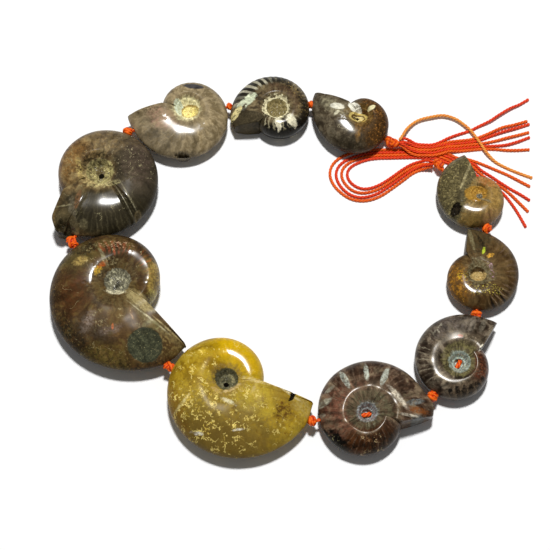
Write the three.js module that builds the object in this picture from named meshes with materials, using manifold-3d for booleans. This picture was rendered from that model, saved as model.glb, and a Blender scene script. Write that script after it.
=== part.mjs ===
// A strand of ten graduated, polished ammonites, drilled edge to edge, strung on one twisted thread with a
// hand-tied knot between neighbours, laid in a ring. Millimetres, +Z up. The origin is under the middle of
// the shells and knots, on the surface they lie on.
import * as THREE from 'three';
import * as BufferGeometryUtils from 'three/addons/utils/BufferGeometryUtils.js';
import Module from 'manifold-3d';

const wasm = await Module();
wasm.setup();

// ---- driving dimensions -------------------------------------------------------------------------------

const TAU = 2 * Math.PI;
const threadDiameter = 0.95;      // one twisted strand
const stringDiameter = 1.3;       // the strands pulled tight together inside a bore
const boreDiameter = 1.95;        // hole drilled through each shell
const stringRoom = 0.35;          // gap kept between the string and a knot
const tailStep = 3 * threadDiameter;

// Each shell: pole of its spiral, the way it coils seen from above (1 counter-clockwise, -1 clockwise),
// the angle and radius of the tip of its last whorl, how far that tip is worn back (less than 0 where it
// stands out), the growth of the radius per turn, the angle left open between the tip and the notch,
// thickness, radius of the umbilicus, and how far above the shell's middle the floor of the umbilicus lies,
// as a share of half the thickness. Where the lip isn't straight, lip holds three points along it from the
// notch to the tip, measured from the pole, and whole is the radius at which its whorl would close.
const shells = [
  { at: [28.5, 56.9], coil: -1, tip: 148, reach: 18.9, worn: -1.7, growth: 2.79, notch: 15, thick: 12,
    navel: 3.1, floor: 0.35, color: 0x5a4b38, wornAngle: 30 },
  { at: [-3.4, 60.0], coil: 1, tip: -156, reach: 18.5, worn: 0.9, growth: 2.07, notch: 19, thick: 12,
    navel: 4.3, floor: 0.45, color: 0x4a3f36 },
  { at: [-37.1, 59.5], coil: -1, tip: -176, reach: 22.5, worn: -0.4, growth: 2.3, notch: 13, thick: 12.5,
    navel: 4.3, floor: 0.4, color: 0x6b6152 },
  { at: [-69.0, 33.3], coil: -1, tip: -118, reach: 25.4, worn: -1.6, growth: 1.74, notch: 31, thick: 14,
    navel: 5.6, floor: 0.4, color: 0x5b4a38, lip: [[-15.2, -13.0], [-17.3, -18.4], [-15.6, -23.4]], whole: 31 },
  { at: [-61.0, -10.3], coil: 1, tip: -43, reach: 36.4, worn: 2.2, growth: 2.78, notch: 6, thick: 15.5,
    navel: 5.2, floor: 0.4, color: 0x5d3f29 },
  { at: [-21.1, -47.2], coil: 1, tip: -14, reach: 33.4, worn: 1.9, growth: 2.7, notch: 10, thick: 15,
    navel: 4.4, floor: 0.3, color: 0xb48a2e },
  { at: [28.3, -58.7], coil: -1, tip: 8, reach: 22.8, worn: -1.6, growth: 1.83, notch: 25, thick: 13,
    navel: 3.7, floor: -0.1, color: 0x4b2f26, boreMeetsUmbilicus: true,
    lip: [[16.2, -2.9], [20.0, -2.0], [23.6, -1.0]], whole: 28 },
  { at: [61.8, -39.9], coil: -1, tip: 47, reach: 20.6, worn: -0.7, growth: 2.13, notch: 15, thick: 11.5,
    navel: 4.0, floor: -0.1, color: 0x55443c, boreMeetsUmbilicus: true },
  { at: [69.8, -6.3], coil: 1, tip: 98, reach: 18.6, worn: -0.4, growth: 2.01, notch: 18, thick: 10.5,
    navel: 3.1, floor: 0.4, color: 0x6a4a2a },
  { at: [71.3, 25.4], coil: -1, tip: 104, reach: 17.8, worn: 0.1, growth: 2.31, notch: 9, thick: 10.5,
    navel: 3.0, floor: 0.5, color: 0x7a6a48 },
];
const wornAngle = 10;             // degrees back from the tip over which the wear fades out, unless told

// Each knot: its middle, half its length along the string and half its width. The first and the last are the
// end knots; the rest sit between two shells, in the crevice where the bores open.
const knots = [
  { at: [40.1, 48.8, 3.4], along: 2.7, across: 1.95 },
  { at: [9.7, 63.3, 6.0], along: 0.9, across: 1.6 },
  { at: [-21.4, 62.5, 6.1], along: 0.9, across: 1.3 },
  { at: [-59.6, 51.7, 6.6], along: 1.4, across: 2.0 },
  { at: [-78.8, 6.6, 7.3], along: 2.0, across: 2.1 },
  { at: [-41.6, -41.2, 7.6], along: 1.4, across: 1.8 },
  { at: [9.0, -61.0, 7.0], along: 1.7, across: 2.1 },
  { at: [52.1, -51.7, 6.1], along: 1.5, across: 1.8 },
  { at: [69.0, -20.7, 5.5], along: 1.1, across: 2.2 },
  { at: [74.5, 12.8, 5.2], along: 1.5, across: 1.9 },
  { at: [57.7, 39.4, 3.8], along: 2.0, across: 1.8 },
];

const whorlCrest = 0.36;          // where between umbilicus and rim a whorl is thickest
const umbilicusEdge = 0.74;       // its height at the umbilicus, as a share of the crest's
const rimFullness = 0.62;         // exponent of the flank: lower is rounder
const thinSide = 0.14;            // how much thinner the shell is half a turn back from its tip
const flatGround = 0.35;          // depth taken off the underside where it lies flat
const floorDish = 0.08;           // how far the umbilicus floor dips at its middle, in half thicknesses

const spiralColumns = 13;
const lipColumns = 3;

// ---- whorl section and outline --------------------------------------------------------------------------

const radians = (degrees) => degrees * Math.PI / 180;

// Radius of the outline some degrees back from the tip: a logarithmic spiral, worn back at its tip.
function outlineRadius(shell, back) {
  const fading = back / (shell.wornAngle ?? wornAngle);
  return shell.reach * shell.growth ** (-back / 360) - shell.worn * Math.exp(-(fading ** 2));
}

// Height of a whorl above or below the shell's middle, 1 at the crest and 0 at the rim (share 0 to 1).
function whorlHeight(share) {
  if (share < whorlCrest) {
    return 1 - (1 - umbilicusEdge) * ((whorlCrest - share) / whorlCrest) ** 2;
  }
  const out = (share - whorlCrest) / (1 - whorlCrest);
  return Math.max(0, 1 - out * out) ** rimFullness;
}

// The columns that the solid is woven from: angle, radius of the outline and radius of the whole whorl there.
// They follow the spiral back from the tip to the notch, then return to the tip along the lip.
function outlineColumns(shell) {
  const columns = [];
  const lastBack = 360 - shell.notch;
  for (let i = 0; i <= spiralColumns; i++) {
    const back = lastBack * i / spiralColumns;
    const radius = outlineRadius(shell, back);
    columns.push({ angle: radians(shell.tip - shell.coil * back), radius, whole: radius, back });
  }
  const tip = new THREE.Vector2(outlineRadius(shell, 0), 0)
    .rotateAround(new THREE.Vector2(), radians(shell.tip));
  const notchAngle = radians(shell.tip - shell.coil * lastBack);
  const notch = new THREE.Vector2(outlineRadius(shell, lastBack), 0)
    .rotateAround(new THREE.Vector2(), notchAngle);
  for (let i = 1; i <= lipColumns; i++) {
    const point = shell.lip ? new THREE.Vector2(...shell.lip[i - 1]) : notch.clone().lerp(tip, i / (lipColumns + 1));
    columns.push({ angle: point.angle(), radius: point.length(), whole: shell.whole ?? shell.reach, back: 360 });
  }
  return columns;
}

// One ring of the weave: share of the way from umbilicus to outline, and which side of the shell it is on.
const ringPlan = [
  { umbilicus: 0.6 }, { share: 0, side: 1 }, { share: whorlCrest, side: 1 }, { share: 0.72, side: 1 },
  { share: 0.94, side: 1 }, { share: 1, side: 0 }, { share: 0.9, side: -1 }, { share: 0.52, side: -1 },
  { share: 0.2, side: -1 },
];

function ringPoint(shell, column, ring) {
  const middle = shell.thick / 2;
  const radius = ring.umbilicus ? shell.navel * ring.umbilicus
    : shell.navel + ring.share * (column.radius - shell.navel);
  const share = (radius - shell.navel) / (column.whole - shell.navel);
  const thinning = 1 - thinSide * (1 - Math.cos(radians(column.back))) / 2;
  let z = middle;
  if (ring.umbilicus) z += middle * shell.floor;
  if (ring.side === 1) z += middle * thinning * whorlHeight(share);
  if (ring.side === -1) z = Math.max(0, middle - (middle + flatGround) * whorlHeight(share));
  return [shell.at[0] + radius * Math.cos(column.angle), shell.at[1] + radius * Math.sin(column.angle), z];
}

// Weaves the rings and columns into one closed body, with a point at the middle of each side.
function shellGeometry(shell) {
  const columns = outlineColumns(shell);
  if (shell.coil === 1) columns.reverse();
  const across = columns.length;
  const middle = shell.thick / 2;
  const positions = [];
  for (const ring of ringPlan) {
    for (const column of columns) positions.push(...ringPoint(shell, column, ring));
  }
  const top = ringPlan.length * across;
  const bottom = top + 1;
  positions.push(shell.at[0], shell.at[1], middle * (1 + shell.floor - floorDish));
  positions.push(shell.at[0], shell.at[1], middle - middle * umbilicusEdge);
  const faces = [];
  for (let c = 0; c < across; c++) {
    const next = (c + 1) % across;
    faces.push(top, c, next);
    for (let r = 0; r + 1 < ringPlan.length; r++) {
      const a = r * across + c;
      const b = r * across + next;
      faces.push(a, a + across, b, b, a + across, b + across);
    }
    const last = (ringPlan.length - 1) * across;
    faces.push(bottom, last + next, last + c);
  }
  const geometry = new THREE.BufferGeometry();
  geometry.setAttribute('position', new THREE.Float32BufferAttribute(positions, 3));
  geometry.setIndex(faces);
  return geometry;
}

// ---- solids ---------------------------------------------------------------------------------------------

function toSolid(geometry) {
  const bare = geometry.clone();
  bare.deleteAttribute('normal');
  bare.deleteAttribute('uv');
  const merged = BufferGeometryUtils.mergeVertices(bare, 1e-4);
  const mesh = new wasm.Mesh({
    numProp: 3,
    vertProperties: new Float32Array(merged.attributes.position.array),
    triVerts: new Uint32Array(merged.index.array),
  });
  return new wasm.Manifold(mesh);
}

function toGeometry(solid) {
  const mesh = solid.getMesh();
  const geometry = new THREE.BufferGeometry();
  geometry.setAttribute('position', new THREE.BufferAttribute(mesh.vertProperties, 3));
  geometry.setIndex(new THREE.BufferAttribute(mesh.triVerts, 1));
  return geometry;
}

// A round bar from one point to another, a little longer at both ends.
function bar(from, to, diameter, extra) {
  const along = new THREE.Vector3().subVectors(to, from);
  const cylinder = new THREE.CylinderGeometry(diameter / 2, diameter / 2, along.length() + 2 * extra, 8);
  const up = new THREE.Vector3(0, 1, 0);
  cylinder.applyQuaternion(new THREE.Quaternion().setFromUnitVectors(up, along.clone().normalize()));
  const centre = from.clone().lerp(to, 0.5);
  cylinder.translate(centre.x, centre.y, centre.z);
  return toSolid(cylinder);
}

// Bars end to end along a bent line, joined in one solid.
function bentBar(points, diameter, extra) {
  let solid = bar(points[0], points[1], diameter, extra);
  for (let i = 1; i + 1 < points.length; i++) {
    solid = solid.add(bar(points[i], points[i + 1], diameter, extra));
  }
  return solid;
}

// ---- the string -----------------------------------------------------------------------------------------

const knotPoint = (knot) => new THREE.Vector3(...knot.at);

// The line of a shell's bore, from the knot before it to the knot after it: straight, or by way of the
// umbilicus where it opens into it.
function boreLine(shell, i) {
  const ends = [knotPoint(knots[i]), knotPoint(knots[i + 1])];
  if (!shell.boreMeetsUmbilicus) return ends;
  return [ends[0], new THREE.Vector3(...shell.at, shell.thick / 2), ends[1]];
}

// Which way the string runs through a knot: from the knot before it to the knot after it.
function knotHeading(i) {
  const before = knotPoint(knots[Math.max(i - 1, 0)]);
  const after = knotPoint(knots[Math.min(i + 1, knots.length - 1)]);
  return new THREE.Vector3().subVectors(after, before).normalize();
}

// How far a knot reaches from its middle in a direction: the radius of its ellipsoid there.
function knotReach(i, direction) {
  const lengthwise = direction.dot(knotHeading(i));
  const crosswise = Math.sqrt(Math.max(0, 1 - lengthwise ** 2));
  return 1 / Math.hypot(lengthwise / knots[i].along, crosswise / knots[i].across);
}

// The string inside the bore stops short of the two knots.
function stringLine(line, before) {
  const last = line.length - 1;
  const points = line.map((point) => point.clone());
  const out = new THREE.Vector3().subVectors(line[1], line[0]).normalize();
  const back = new THREE.Vector3().subVectors(line[last - 1], line[last]).normalize();
  points[0].addScaledVector(out, knotReach(before, out) + stringRoom);
  points[last].addScaledVector(back, knotReach(before + 1, back) + stringRoom);
  return points;
}

function knotGeometry(i) {
  const { along, across } = knots[i];
  const sphere = new THREE.SphereGeometry(1, 6, 4);
  sphere.scale(across, along, across);
  const up = new THREE.Vector3(0, 1, 0);
  sphere.applyQuaternion(new THREE.Quaternion().setFromUnitVectors(up, knotHeading(i)));
  sphere.translate(...knots[i].at);
  return sphere;
}

// ---- the loose tails ------------------------------------------------------------------------------------

// Routes of the seven tails from the start knot, each [x, y, z] from the knot to the cut end.
const startTails = [
  [[43.1, 49.4, 4.4], [44.3, 51.4, 4], [46, 54.6, 2.8], [48.3, 57.2, 1.8], [51, 59, 1.5], [55.3, 60.2, 1.6],
    [60.3, 60.9, 1.6], [64.7, 59.6, 1.5], [67.5, 57.6, 1.5], [70.4, 54.7, 1.6], [72.5, 51.6, 1.6],
    [74.2, 48.8, 1.6], [76.2, 45.4, 1.5], [79.4, 42, 0.7], [82.4, 40.1, 0.5], [86.4, 38.1, 0.5],
    [90.4, 36.4, 0.5], [93, 35.4, 0.5]],
  [[43.1, 49.9, 3.3], [45, 50.8, 2.6], [47, 50.6, 1.4], [49.5, 49.5, 0.6], [53, 49.1, 0.5], [56, 49.2, 0.5],
    [59, 50.3, 0.5], [62, 51.8, 0.7], [65.5, 53.2, 0.7], [70.3, 54.9, 0.5], [73.6, 56.6, 0.7],
    [78.1, 58.8, 1.2], [81.9, 61.4, 1.4], [86.3, 64.2, 1.2], [89.6, 65.8, 0.8], [93.4, 68.2, 0.5]],
  [[43.1, 49.3, 2.4], [45, 49.7, 1.7], [47, 49.4, 0.9], [49.5, 48.4, 0.5], [53, 48, 0.5], [56, 48.1, 0.5],
    [59, 49.2, 0.5], [62, 50.2, 0.5], [65.5, 50.7, 0.5], [70, 51.2, 0.5], [73.7, 52.2, 0.5],
    [78, 54, 0.7], [82.7, 56.1, 1], [87.3, 57.3, 0.9], [92.4, 59, 0.5]],
  [[43.1, 48.8, 3.4], [45, 48.9, 3.1], [47, 48.6, 2.4], [49.5, 47.8, 1.6], [53, 47.5, 1.5], [56, 47.6, 1.5],
    [59, 48.4, 1.4], [62, 49.1, 0.7], [65.5, 49.6, 0.5], [70, 50.1, 0.5], [74, 51, 0.5],
    [78.3, 52.7, 0.6], [83, 54.4, 0.9], [88, 55.9, 0.8], [93.2, 57.7, 0.5]],
  [[43.1, 48.3, 2.4], [45, 47.9, 2.1], [47, 47.5, 1.6], [49.5, 46.6, 1.5], [53, 46.4, 1.5], [56, 46.5, 1.6],
    [59, 47.2, 1.5], [62, 48.1, 0.9], [65.5, 48.5, 0.5], [70, 49, 0.5], [74.7, 49.6, 0.5],
    [79.7, 50.6, 0.6], [84.1, 51.8, 0.9], [88.6, 53, 0.8], [92.8, 54.3, 0.5]],
  [[43.1, 48.3, 4.3], [45, 47.4, 3.6], [47, 46.4, 2.6], [49.5, 45.6, 1.6], [53, 45.4, 1.5], [56, 45.3, 1.5],
    [59, 46.1, 1.6], [62, 47, 1.2], [65.5, 47.4, 0.5], [70, 47.9, 0.5], [75, 48.4, 0.5],
    [79.7, 48.6, 0.5], [83.6, 48.9, 0.7], [87.6, 50, 0.8], [93, 52.2, 0.5]],
  [[43.1, 47.7, 3.3], [45, 46.8, 2.6], [47, 45.2, 1.9], [49.5, 44.3, 1.5], [53, 44.2, 1.5], [56, 44.2, 1.5],
    [59, 44.9, 1.6], [62, 45.9, 1.5], [65.5, 46.3, 0.7], [70, 46.8, 0.5], [75.2, 47.3, 0.5],
    [79.8, 47.2, 0.5], [84, 46.8, 0.6], [88.3, 46.8, 0.6], [92.6, 47.1, 0.5]],
];

// Routes of the four tails from the end knot: out to the left, round the folded loop, back over the
// surface, under the tip of the tenth shell and on to the cut end.
const endTails = [
  [[55.3, 38.9, 3.2], [53, 38.8, 1.6], [50.4, 38.4, 0.5], [47.6, 37, 0.5], [45, 34.9, 0.5], [42.3, 32.8, 0.5],
    [39.3, 30.5, 0.5], [36, 28.2, 0.5], [32.4, 26.6, 0.5], [28.4, 26, 0.5], [24.5, 26.8, 0.5],
    [20.9, 29.2, 0.5], [18, 32.6, 0.5], [16.7, 36.4, 0.5], [17.4, 40.2, 0.5], [20.2, 43.4, 0.5],
    [24.4, 45.4, 0.5], [28.8, 46.4, 0.5], [33.4, 46.9, 0.5], [38, 47, 0.5], [43, 47, 0.5],
    [48, 47.1, 0.5], [52.5, 47, 0.5], [56, 46.9, 0.5], [59.4, 46.2, 0.5], [62.4, 44.9, 0.5],
    [65.1, 43.6, 0.5], [68.3, 43.2, 0.5], [71.8, 42.1, 0.5], [75.3, 40.6, 0.5], [79.6, 38.6, 0.5],
    [83.6, 36.7, 0.5], [87.4, 34.5, 0.6], [92, 31.8, 0.5]],
  [[55.3, 39.3, 4.3], [53, 39.6, 2.7], [50.4, 39.6, 1], [47.6, 38.4, 0.5], [44.6, 36.2, 0.5],
    [41.6, 33.9, 0.5], [38.6, 31.7, 0.5], [35.4, 29.5, 0.5], [32, 28, 0.5], [28.5, 27.4, 0.5], [25.1, 28.1, 0.5],
    [22.2, 30.1, 0.5], [19.9, 33.2, 0.5], [19, 36.6, 0.5], [19.8, 39.7, 0.5], [22.2, 42.2, 0.5],
    [25.6, 43.9, 0.5], [29.5, 45.1, 0.5], [34, 45.7, 0.5], [38.5, 45.8, 0.5], [43, 45.9, 0.5],
    [48, 46, 0.5], [52.5, 45.9, 0.5], [56, 45.8, 0.5], [59, 45.1, 0.5], [62, 43.8, 0.5],
    [64.7, 42.5, 0.5], [67.9, 42.1, 0.5], [71.3, 41, 0.5], [74.1, 38.4, 0.5], [77.5, 36, 0.5],
    [81, 33.4, 0.5], [84.5, 30.9, 0.5], [88, 28.7, 0.6], [91.6, 26.2, 0.5]],
  [[55.3, 40, 3.2], [53, 40.6, 1.6], [50.4, 40.6, 0.6], [47.6, 39.6, 0.5], [44.2, 37.4, 0.5],
    [41.2, 35.1, 0.5], [38.2, 32.9, 0.5], [35.2, 31, 0.5], [32, 29.7, 0.5], [28.8, 29.2, 0.5], [25.8, 29.9, 0.5],
    [23.2, 31.9, 0.5], [21.5, 34.6, 0.5], [21.1, 37.3, 0.5], [22, 39.7, 0.5], [24.2, 41.7, 0.5],
    [27.2, 43.1, 0.5], [31, 44.2, 0.5], [35, 44.6, 0.5], [39, 44.7, 0.5], [43, 44.8, 0.5],
    [48, 44.9, 0.5], [52.5, 44.8, 0.5], [56, 44.7, 0.5], [58.7, 44, 0.5], [61.5, 42.7, 0.5],
    [64.3, 41.4, 0.5], [67.5, 41.1, 0.5], [70.8, 39.9, 0.5], [72.9, 37.7, 0.5], [75.6, 35.3, 0.5],
    [78.8, 33.2, 0.5], [81.9, 31.1, 0.5], [84.6, 28.6, 0.5], [86.9, 26, 0.6], [90.8, 21.6, 0.5]],
  [[55.3, 40.4, 4.3], [53, 41.6, 2.4], [50.4, 41.8, 0.8], [47.6, 40.9, 0.5], [44, 38.7, 0.5], [41, 36.4, 0.5],
    [38, 34.2, 0.5], [35, 32.4, 0.5], [32, 31.2, 0.5], [29.2, 30.9, 0.5], [26.7, 31.7, 0.5],
    [24.5, 33.5, 0.5], [23.3, 35.9, 0.5], [23.5, 38.2, 0.5], [25.1, 40.2, 0.5], [28, 41.8, 0.5],
    [31.6, 43, 0.5], [35.2, 43.5, 0.5], [39, 43.6, 0.5], [43, 43.7, 0.5], [48, 43.8, 0.5],
    [52.5, 43.7, 0.5], [56, 43.5, 0.5], [58.4, 42.8, 0.5], [61, 41.6, 0.5], [64, 40.3, 0.5],
    [67, 40, 0.5], [69.8, 38.9, 0.5], [71.8, 36.8, 0.5], [73.9, 34.7, 0.5], [76.6, 33, 0.5],
    [79.4, 31, 0.5], [82, 28.7, 0.5], [84.3, 25.5, 0.5], [86.6, 21.6, 0.5], [89.6, 15.4, 0.5]],
];

function tailGeometry(points) {
  const stops = points.map((point) => new THREE.Vector3(...point));
  const route = new THREE.CatmullRomCurve3(stops, false, 'centripetal');
  const section = new THREE.Shape();
  for (let i = 0; i < 8; i++) {
    const angle = TAU * (i + 0.5) / 8;
    const x = threadDiameter / 2 * Math.cos(angle);
    const y = threadDiameter / 2 * Math.sin(angle);
    if (i === 0) section.moveTo(x, y);
    else section.lineTo(x, y);
  }
  const steps = Math.round(route.getLength() / tailStep);
  return new THREE.ExtrudeGeometry(section, { steps, extrudePath: route, curveSegments: 1 });
}

// ---- the assembly ---------------------------------------------------------------------------------------

const group = new THREE.Group();
const twoDigits = (number) => String(number).padStart(2, '0');

function addPiece(name, geometry, color, roughness) {
  const mesh = new THREE.Mesh(geometry, new THREE.MeshStandardMaterial({ color, roughness, metalness: 0 }));
  mesh.name = name;
  group.add(mesh);
}

const threadColor = 0xe8480c;
const threadRoughness = 0.6;
const polishRoughness = 0.15;

shells.forEach((shell, i) => {
  const line = boreLine(shell, i);
  const bored = toSolid(shellGeometry(shell)).subtract(bentBar(line, boreDiameter, 0));
  addPiece(`ammonite_${twoDigits(i + 1)}`, toGeometry(bored), shell.color, polishRoughness);
  const string = bentBar(stringLine(line, i), stringDiameter, 0);
  addPiece(`thread_in_${twoDigits(i + 1)}`, toGeometry(string), threadColor, threadRoughness);
});

knots.forEach((knot, i) => {
  addPiece(`knot_${twoDigits(i)}`, knotGeometry(i), threadColor, threadRoughness);
});
startTails.forEach((points, i) => {
  addPiece(`tail_start_${i + 1}`, tailGeometry(points), threadColor, threadRoughness);
});
endTails.forEach((points, i) => {
  addPiece(`tail_end_${i + 1}`, tailGeometry(points), threadColor, threadRoughness);
});

export default group;
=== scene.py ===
# %% [markdown]
# A strand of polished ammonites. Ten fossil ammonites were ground, polished, drilled from edge to edge and
# strung on a twisted orange thread, the largest in the middle, with a knot in every crevice between two
# stones. The strand lies in a ring on a pale table and its loose thread ends leave on the right. The
# solids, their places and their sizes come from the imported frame. This lesson makes the surfaces that an
# eye rests on: the coiled whorls with their ribs and chips, the spun thread, the knots and the finishes.

import bpy
import numpy as np
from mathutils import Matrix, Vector


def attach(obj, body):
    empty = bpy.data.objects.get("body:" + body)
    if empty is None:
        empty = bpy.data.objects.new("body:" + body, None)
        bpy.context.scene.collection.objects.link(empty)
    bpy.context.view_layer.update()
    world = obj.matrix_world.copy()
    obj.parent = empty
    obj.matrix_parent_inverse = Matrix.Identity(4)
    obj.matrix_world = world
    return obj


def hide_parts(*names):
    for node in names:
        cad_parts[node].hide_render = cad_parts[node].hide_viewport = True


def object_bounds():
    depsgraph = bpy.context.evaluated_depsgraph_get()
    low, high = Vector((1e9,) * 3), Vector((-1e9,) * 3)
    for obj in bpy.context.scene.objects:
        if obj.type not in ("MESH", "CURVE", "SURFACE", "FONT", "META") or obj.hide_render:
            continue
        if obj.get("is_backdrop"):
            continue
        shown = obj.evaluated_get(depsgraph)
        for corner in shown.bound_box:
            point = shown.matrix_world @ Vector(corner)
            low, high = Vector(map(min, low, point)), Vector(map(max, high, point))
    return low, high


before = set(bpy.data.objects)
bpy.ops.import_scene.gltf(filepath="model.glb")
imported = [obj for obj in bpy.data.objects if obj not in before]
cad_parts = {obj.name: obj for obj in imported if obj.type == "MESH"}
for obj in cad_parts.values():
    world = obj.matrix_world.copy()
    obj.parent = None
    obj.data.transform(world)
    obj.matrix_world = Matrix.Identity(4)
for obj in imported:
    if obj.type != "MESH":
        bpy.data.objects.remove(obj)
cad_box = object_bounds()
scene = bpy.context.scene
print("box of the solids, in metres:", [tuple(round(x, 4) for x in corner) for corner in cad_box])

# %% [markdown]
# The camera looks down on the table from its near side, 70 degrees above it. It could be framed by hand,
# but three real sizes fix it: the point of the table in the middle of the view, the distance to it, and the
# width of table that the view takes in there.

# %% Camera
VIEW_HEIGHT = np.radians(70)
VIEW_DISTANCE = 0.6
VIEW_MIDDLE = Vector((-0.0041, -0.0035, 0))
VIEW_WIDTH = 0.2035


def look(name, data, place, target):
    """A camera or lamp at a place, with its axis, local -Z, turned towards the target and local Y upwards."""
    thing = bpy.data.objects.new(name, data)
    scene.collection.objects.link(thing)
    thing.location = place
    thing.rotation_euler = (Vector(target) - Vector(place)).to_track_quat("-Z", "Y").to_euler()
    return thing


camera_data = bpy.data.cameras.new("camera")
camera_data.angle = 2 * np.arctan(VIEW_WIDTH / 2 / VIEW_DISTANCE)
backwards = Vector((0, -np.cos(VIEW_HEIGHT), np.sin(VIEW_HEIGHT)))
scene.camera = look("camera", camera_data, VIEW_MIDDLE + VIEW_DISTANCE * backwards, VIEW_MIDDLE)
print("lens:", round(camera_data.lens, 1), "mm")

# %% [markdown]
# Every surface here is a grid of points worked out as whole arrays: rows one way, columns round the other
# way. One helper turns such a closed grid into a mesh. The columns always join up in a ring, and each end
# is closed by a fan of triangles round one more point. Numbers that a finish needs later, such as how far
# along a thread a point lies, are stored beside the points as attributes.

# %% Meshes from grids


def woven(name, grid, ends, marks=None):
    """A closed mesh from grid[row, column, xyz], whose columns join up, with a fan to each of the
    two ends. marks are named numbers [row, column], stored on the points; an end takes its row's mean."""
    rows, columns, _ = grid.shape
    points = np.concatenate([grid.reshape(-1, 3), np.asarray(ends, float).reshape(2, 3)])
    column = np.arange(columns)
    following = (column + 1) % columns
    row = np.arange(rows - 1)[:, None] * columns
    quads = np.stack([row + column, row + columns + column, row + columns + following, row + following], -1)
    first, last = rows * columns, rows * columns + 1
    near = np.stack([np.full(columns, first), column, following], -1)
    far_row = (rows - 1) * columns
    far = np.stack([np.full(columns, last), far_row + following, far_row + column], -1)
    mesh = bpy.data.meshes.new(name)
    mesh.from_pydata(points, [], quads.reshape(-1, 4).tolist() + near.tolist() + far.tolist())
    mesh.polygons.foreach_set("use_smooth", np.ones(len(mesh.polygons), bool))
    for mark, values in (marks or {}).items():
        values = np.broadcast_to(values, (rows, columns))
        flat = np.concatenate([values.reshape(-1), [values[0].mean(), values[-1].mean()]])
        mesh.attributes.new(mark, "FLOAT", "POINT").data.foreach_set("value", flat.astype(np.float32))
    return mesh


def show(mesh, slot, *nodes):
    """Puts a finished mesh in the scene: it rides on the one body and stands for the solids it replaces."""
    piece = bpy.data.objects.new(mesh.name, mesh)
    scene.collection.objects.link(piece)
    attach(piece, "root")
    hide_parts(*nodes)
    return piece


# %% [markdown]
# A curve through given points is what thread does when it is dropped on a table. Three kinds of spline
# would do it. The centripetal Catmull-Rom one passes through every point and makes no loops where two
# points lie close together, so the route stays where it was laid.

# %% Smooth routes
SPAN_STEPS = 16


def smooth_route(stops, step):
    """Centripetal Catmull-Rom curve through the stops. Each span blends four stops, timed by the square
    root of the distance between them. The points are then spread evenly, a step apart, along its length."""
    stops = np.asarray(stops, float)
    stops = np.concatenate([2 * stops[:1] - stops[1:2], stops, 2 * stops[-1:] - stops[-2:-1]])
    a, b, c, d = stops[:-3, None], stops[1:-2, None], stops[2:-1, None], stops[3:, None]
    gaps = np.sqrt(np.linalg.norm(np.diff(stops, axis=0), axis=1))
    times = [0 * gaps[:-2], gaps[:-2], gaps[:-2] + gaps[1:-1], gaps[:-2] + gaps[1:-1] + gaps[2:]]
    t0, t1, t2, t3 = (time[:, None, None] for time in times)
    t = t1 + (t2 - t1) * np.linspace(0, 1, SPAN_STEPS, endpoint=False)[None, :, None]
    ab = ((t1 - t) * a + (t - t0) * b) / (t1 - t0)
    bc = ((t2 - t) * b + (t - t1) * c) / (t2 - t1)
    cd = ((t3 - t) * c + (t - t2) * d) / (t3 - t2)
    abc = ((t2 - t) * ab + (t - t0) * bc) / (t2 - t0)
    bcd = ((t3 - t) * bc + (t - t1) * cd) / (t3 - t1)
    curve = (((t2 - t) * abc + (t - t1) * bcd) / (t2 - t1)).reshape(-1, 3)
    curve = np.concatenate([curve, stops[-2:-1]])
    return evenly(curve, step)


def evenly(curve, step):
    """The same curve with its points a step apart along its length."""
    along = np.concatenate([[0], np.cumsum(np.linalg.norm(np.diff(curve, axis=0), axis=1))])
    places = np.linspace(0, along[-1], max(4, int(round(along[-1] / step))))
    return np.stack([np.interp(places, along, curve[:, i]) for i in range(3)], -1)


def length_of(path):
    return float(np.linalg.norm(np.diff(path, axis=0), axis=1).sum())


# %% [markdown]
# The thread is spun from three plies, so a cut across it shows three round lobes that turn as it runs. A
# plain round tube with painted stripes would look flat in a close view, so the lobes are modelled: the
# section is the outline of three circles that touch, softened a little, and it makes one turn in about four
# diameters.

# %% Spun thread
THREAD = 0.00095
STRING = 0.0013
PLIES = 3
TWIST = 4.2
ROUND_THREAD = 18
GROOVE_FILL = 0.35
TIP = 0.3


def ply_outline(angle):
    """Radius of the outline of touching circles in a ring, as a share of the thread's own radius: 1 on top
    of a ply and least in the groove between two, which fibres fill a little. Within a ply it is d cos(a) +
    sqrt(r r - d d sin(a) sin(a))."""
    half = np.pi / PLIES
    within = np.abs((angle + half) % (2 * half) - half)
    circle = np.sin(half) / (1 + np.sin(half))
    middle = circle / np.sin(half)
    reach = middle * np.cos(within) + np.sqrt(np.maximum(circle**2 - (middle * np.sin(within)) ** 2, 0))
    return GROOVE_FILL + (1 - GROOVE_FILL) * reach


def spun(name, path, diameter, across=None, start_turn=0.0, swell=1.0):
    """A twisted thread along a path. At each point two directions across it carry the section, which is the
    ply outline turned by the length run so far: one turn in TWIST diameters. across may give one of the
    directions, else it is level. swell makes the thread thicker, all along or point by point."""
    tangent = np.gradient(path, axis=0)
    tangent /= np.linalg.norm(tangent, axis=1, keepdims=True)
    side = np.cross(tangent, (0, 0, 1.0)) if across is None else np.cross(tangent, across)
    side /= np.linalg.norm(side, axis=1, keepdims=True)
    upward = np.cross(side, tangent)
    run = np.concatenate([[0], np.cumsum(np.linalg.norm(np.diff(path, axis=0), axis=1))])
    turned = 2 * np.pi * run / (TWIST * diameter) + start_turn
    angle = 2 * np.pi * np.arange(ROUND_THREAD) / ROUND_THREAD
    share = ply_outline(angle[None, :] - turned[:, None])
    radius = (diameter / 2 * share * np.reshape(swell, (-1, 1)))[..., None]
    across_path = side[:, None] * np.cos(angle)[:, None] + upward[:, None] * np.sin(angle)[:, None]
    grid = path[:, None] + radius * across_path
    least = ply_outline(np.pi / PLIES)
    marks = {"ridge": (share - least) / (1 - least), "along": run[:, None]}
    tip = TIP * diameter * np.array([-1, 1])[:, None] * tangent[[0, -1]]
    return woven(name, grid, path[[0, -1]] + tip, marks)
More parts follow.
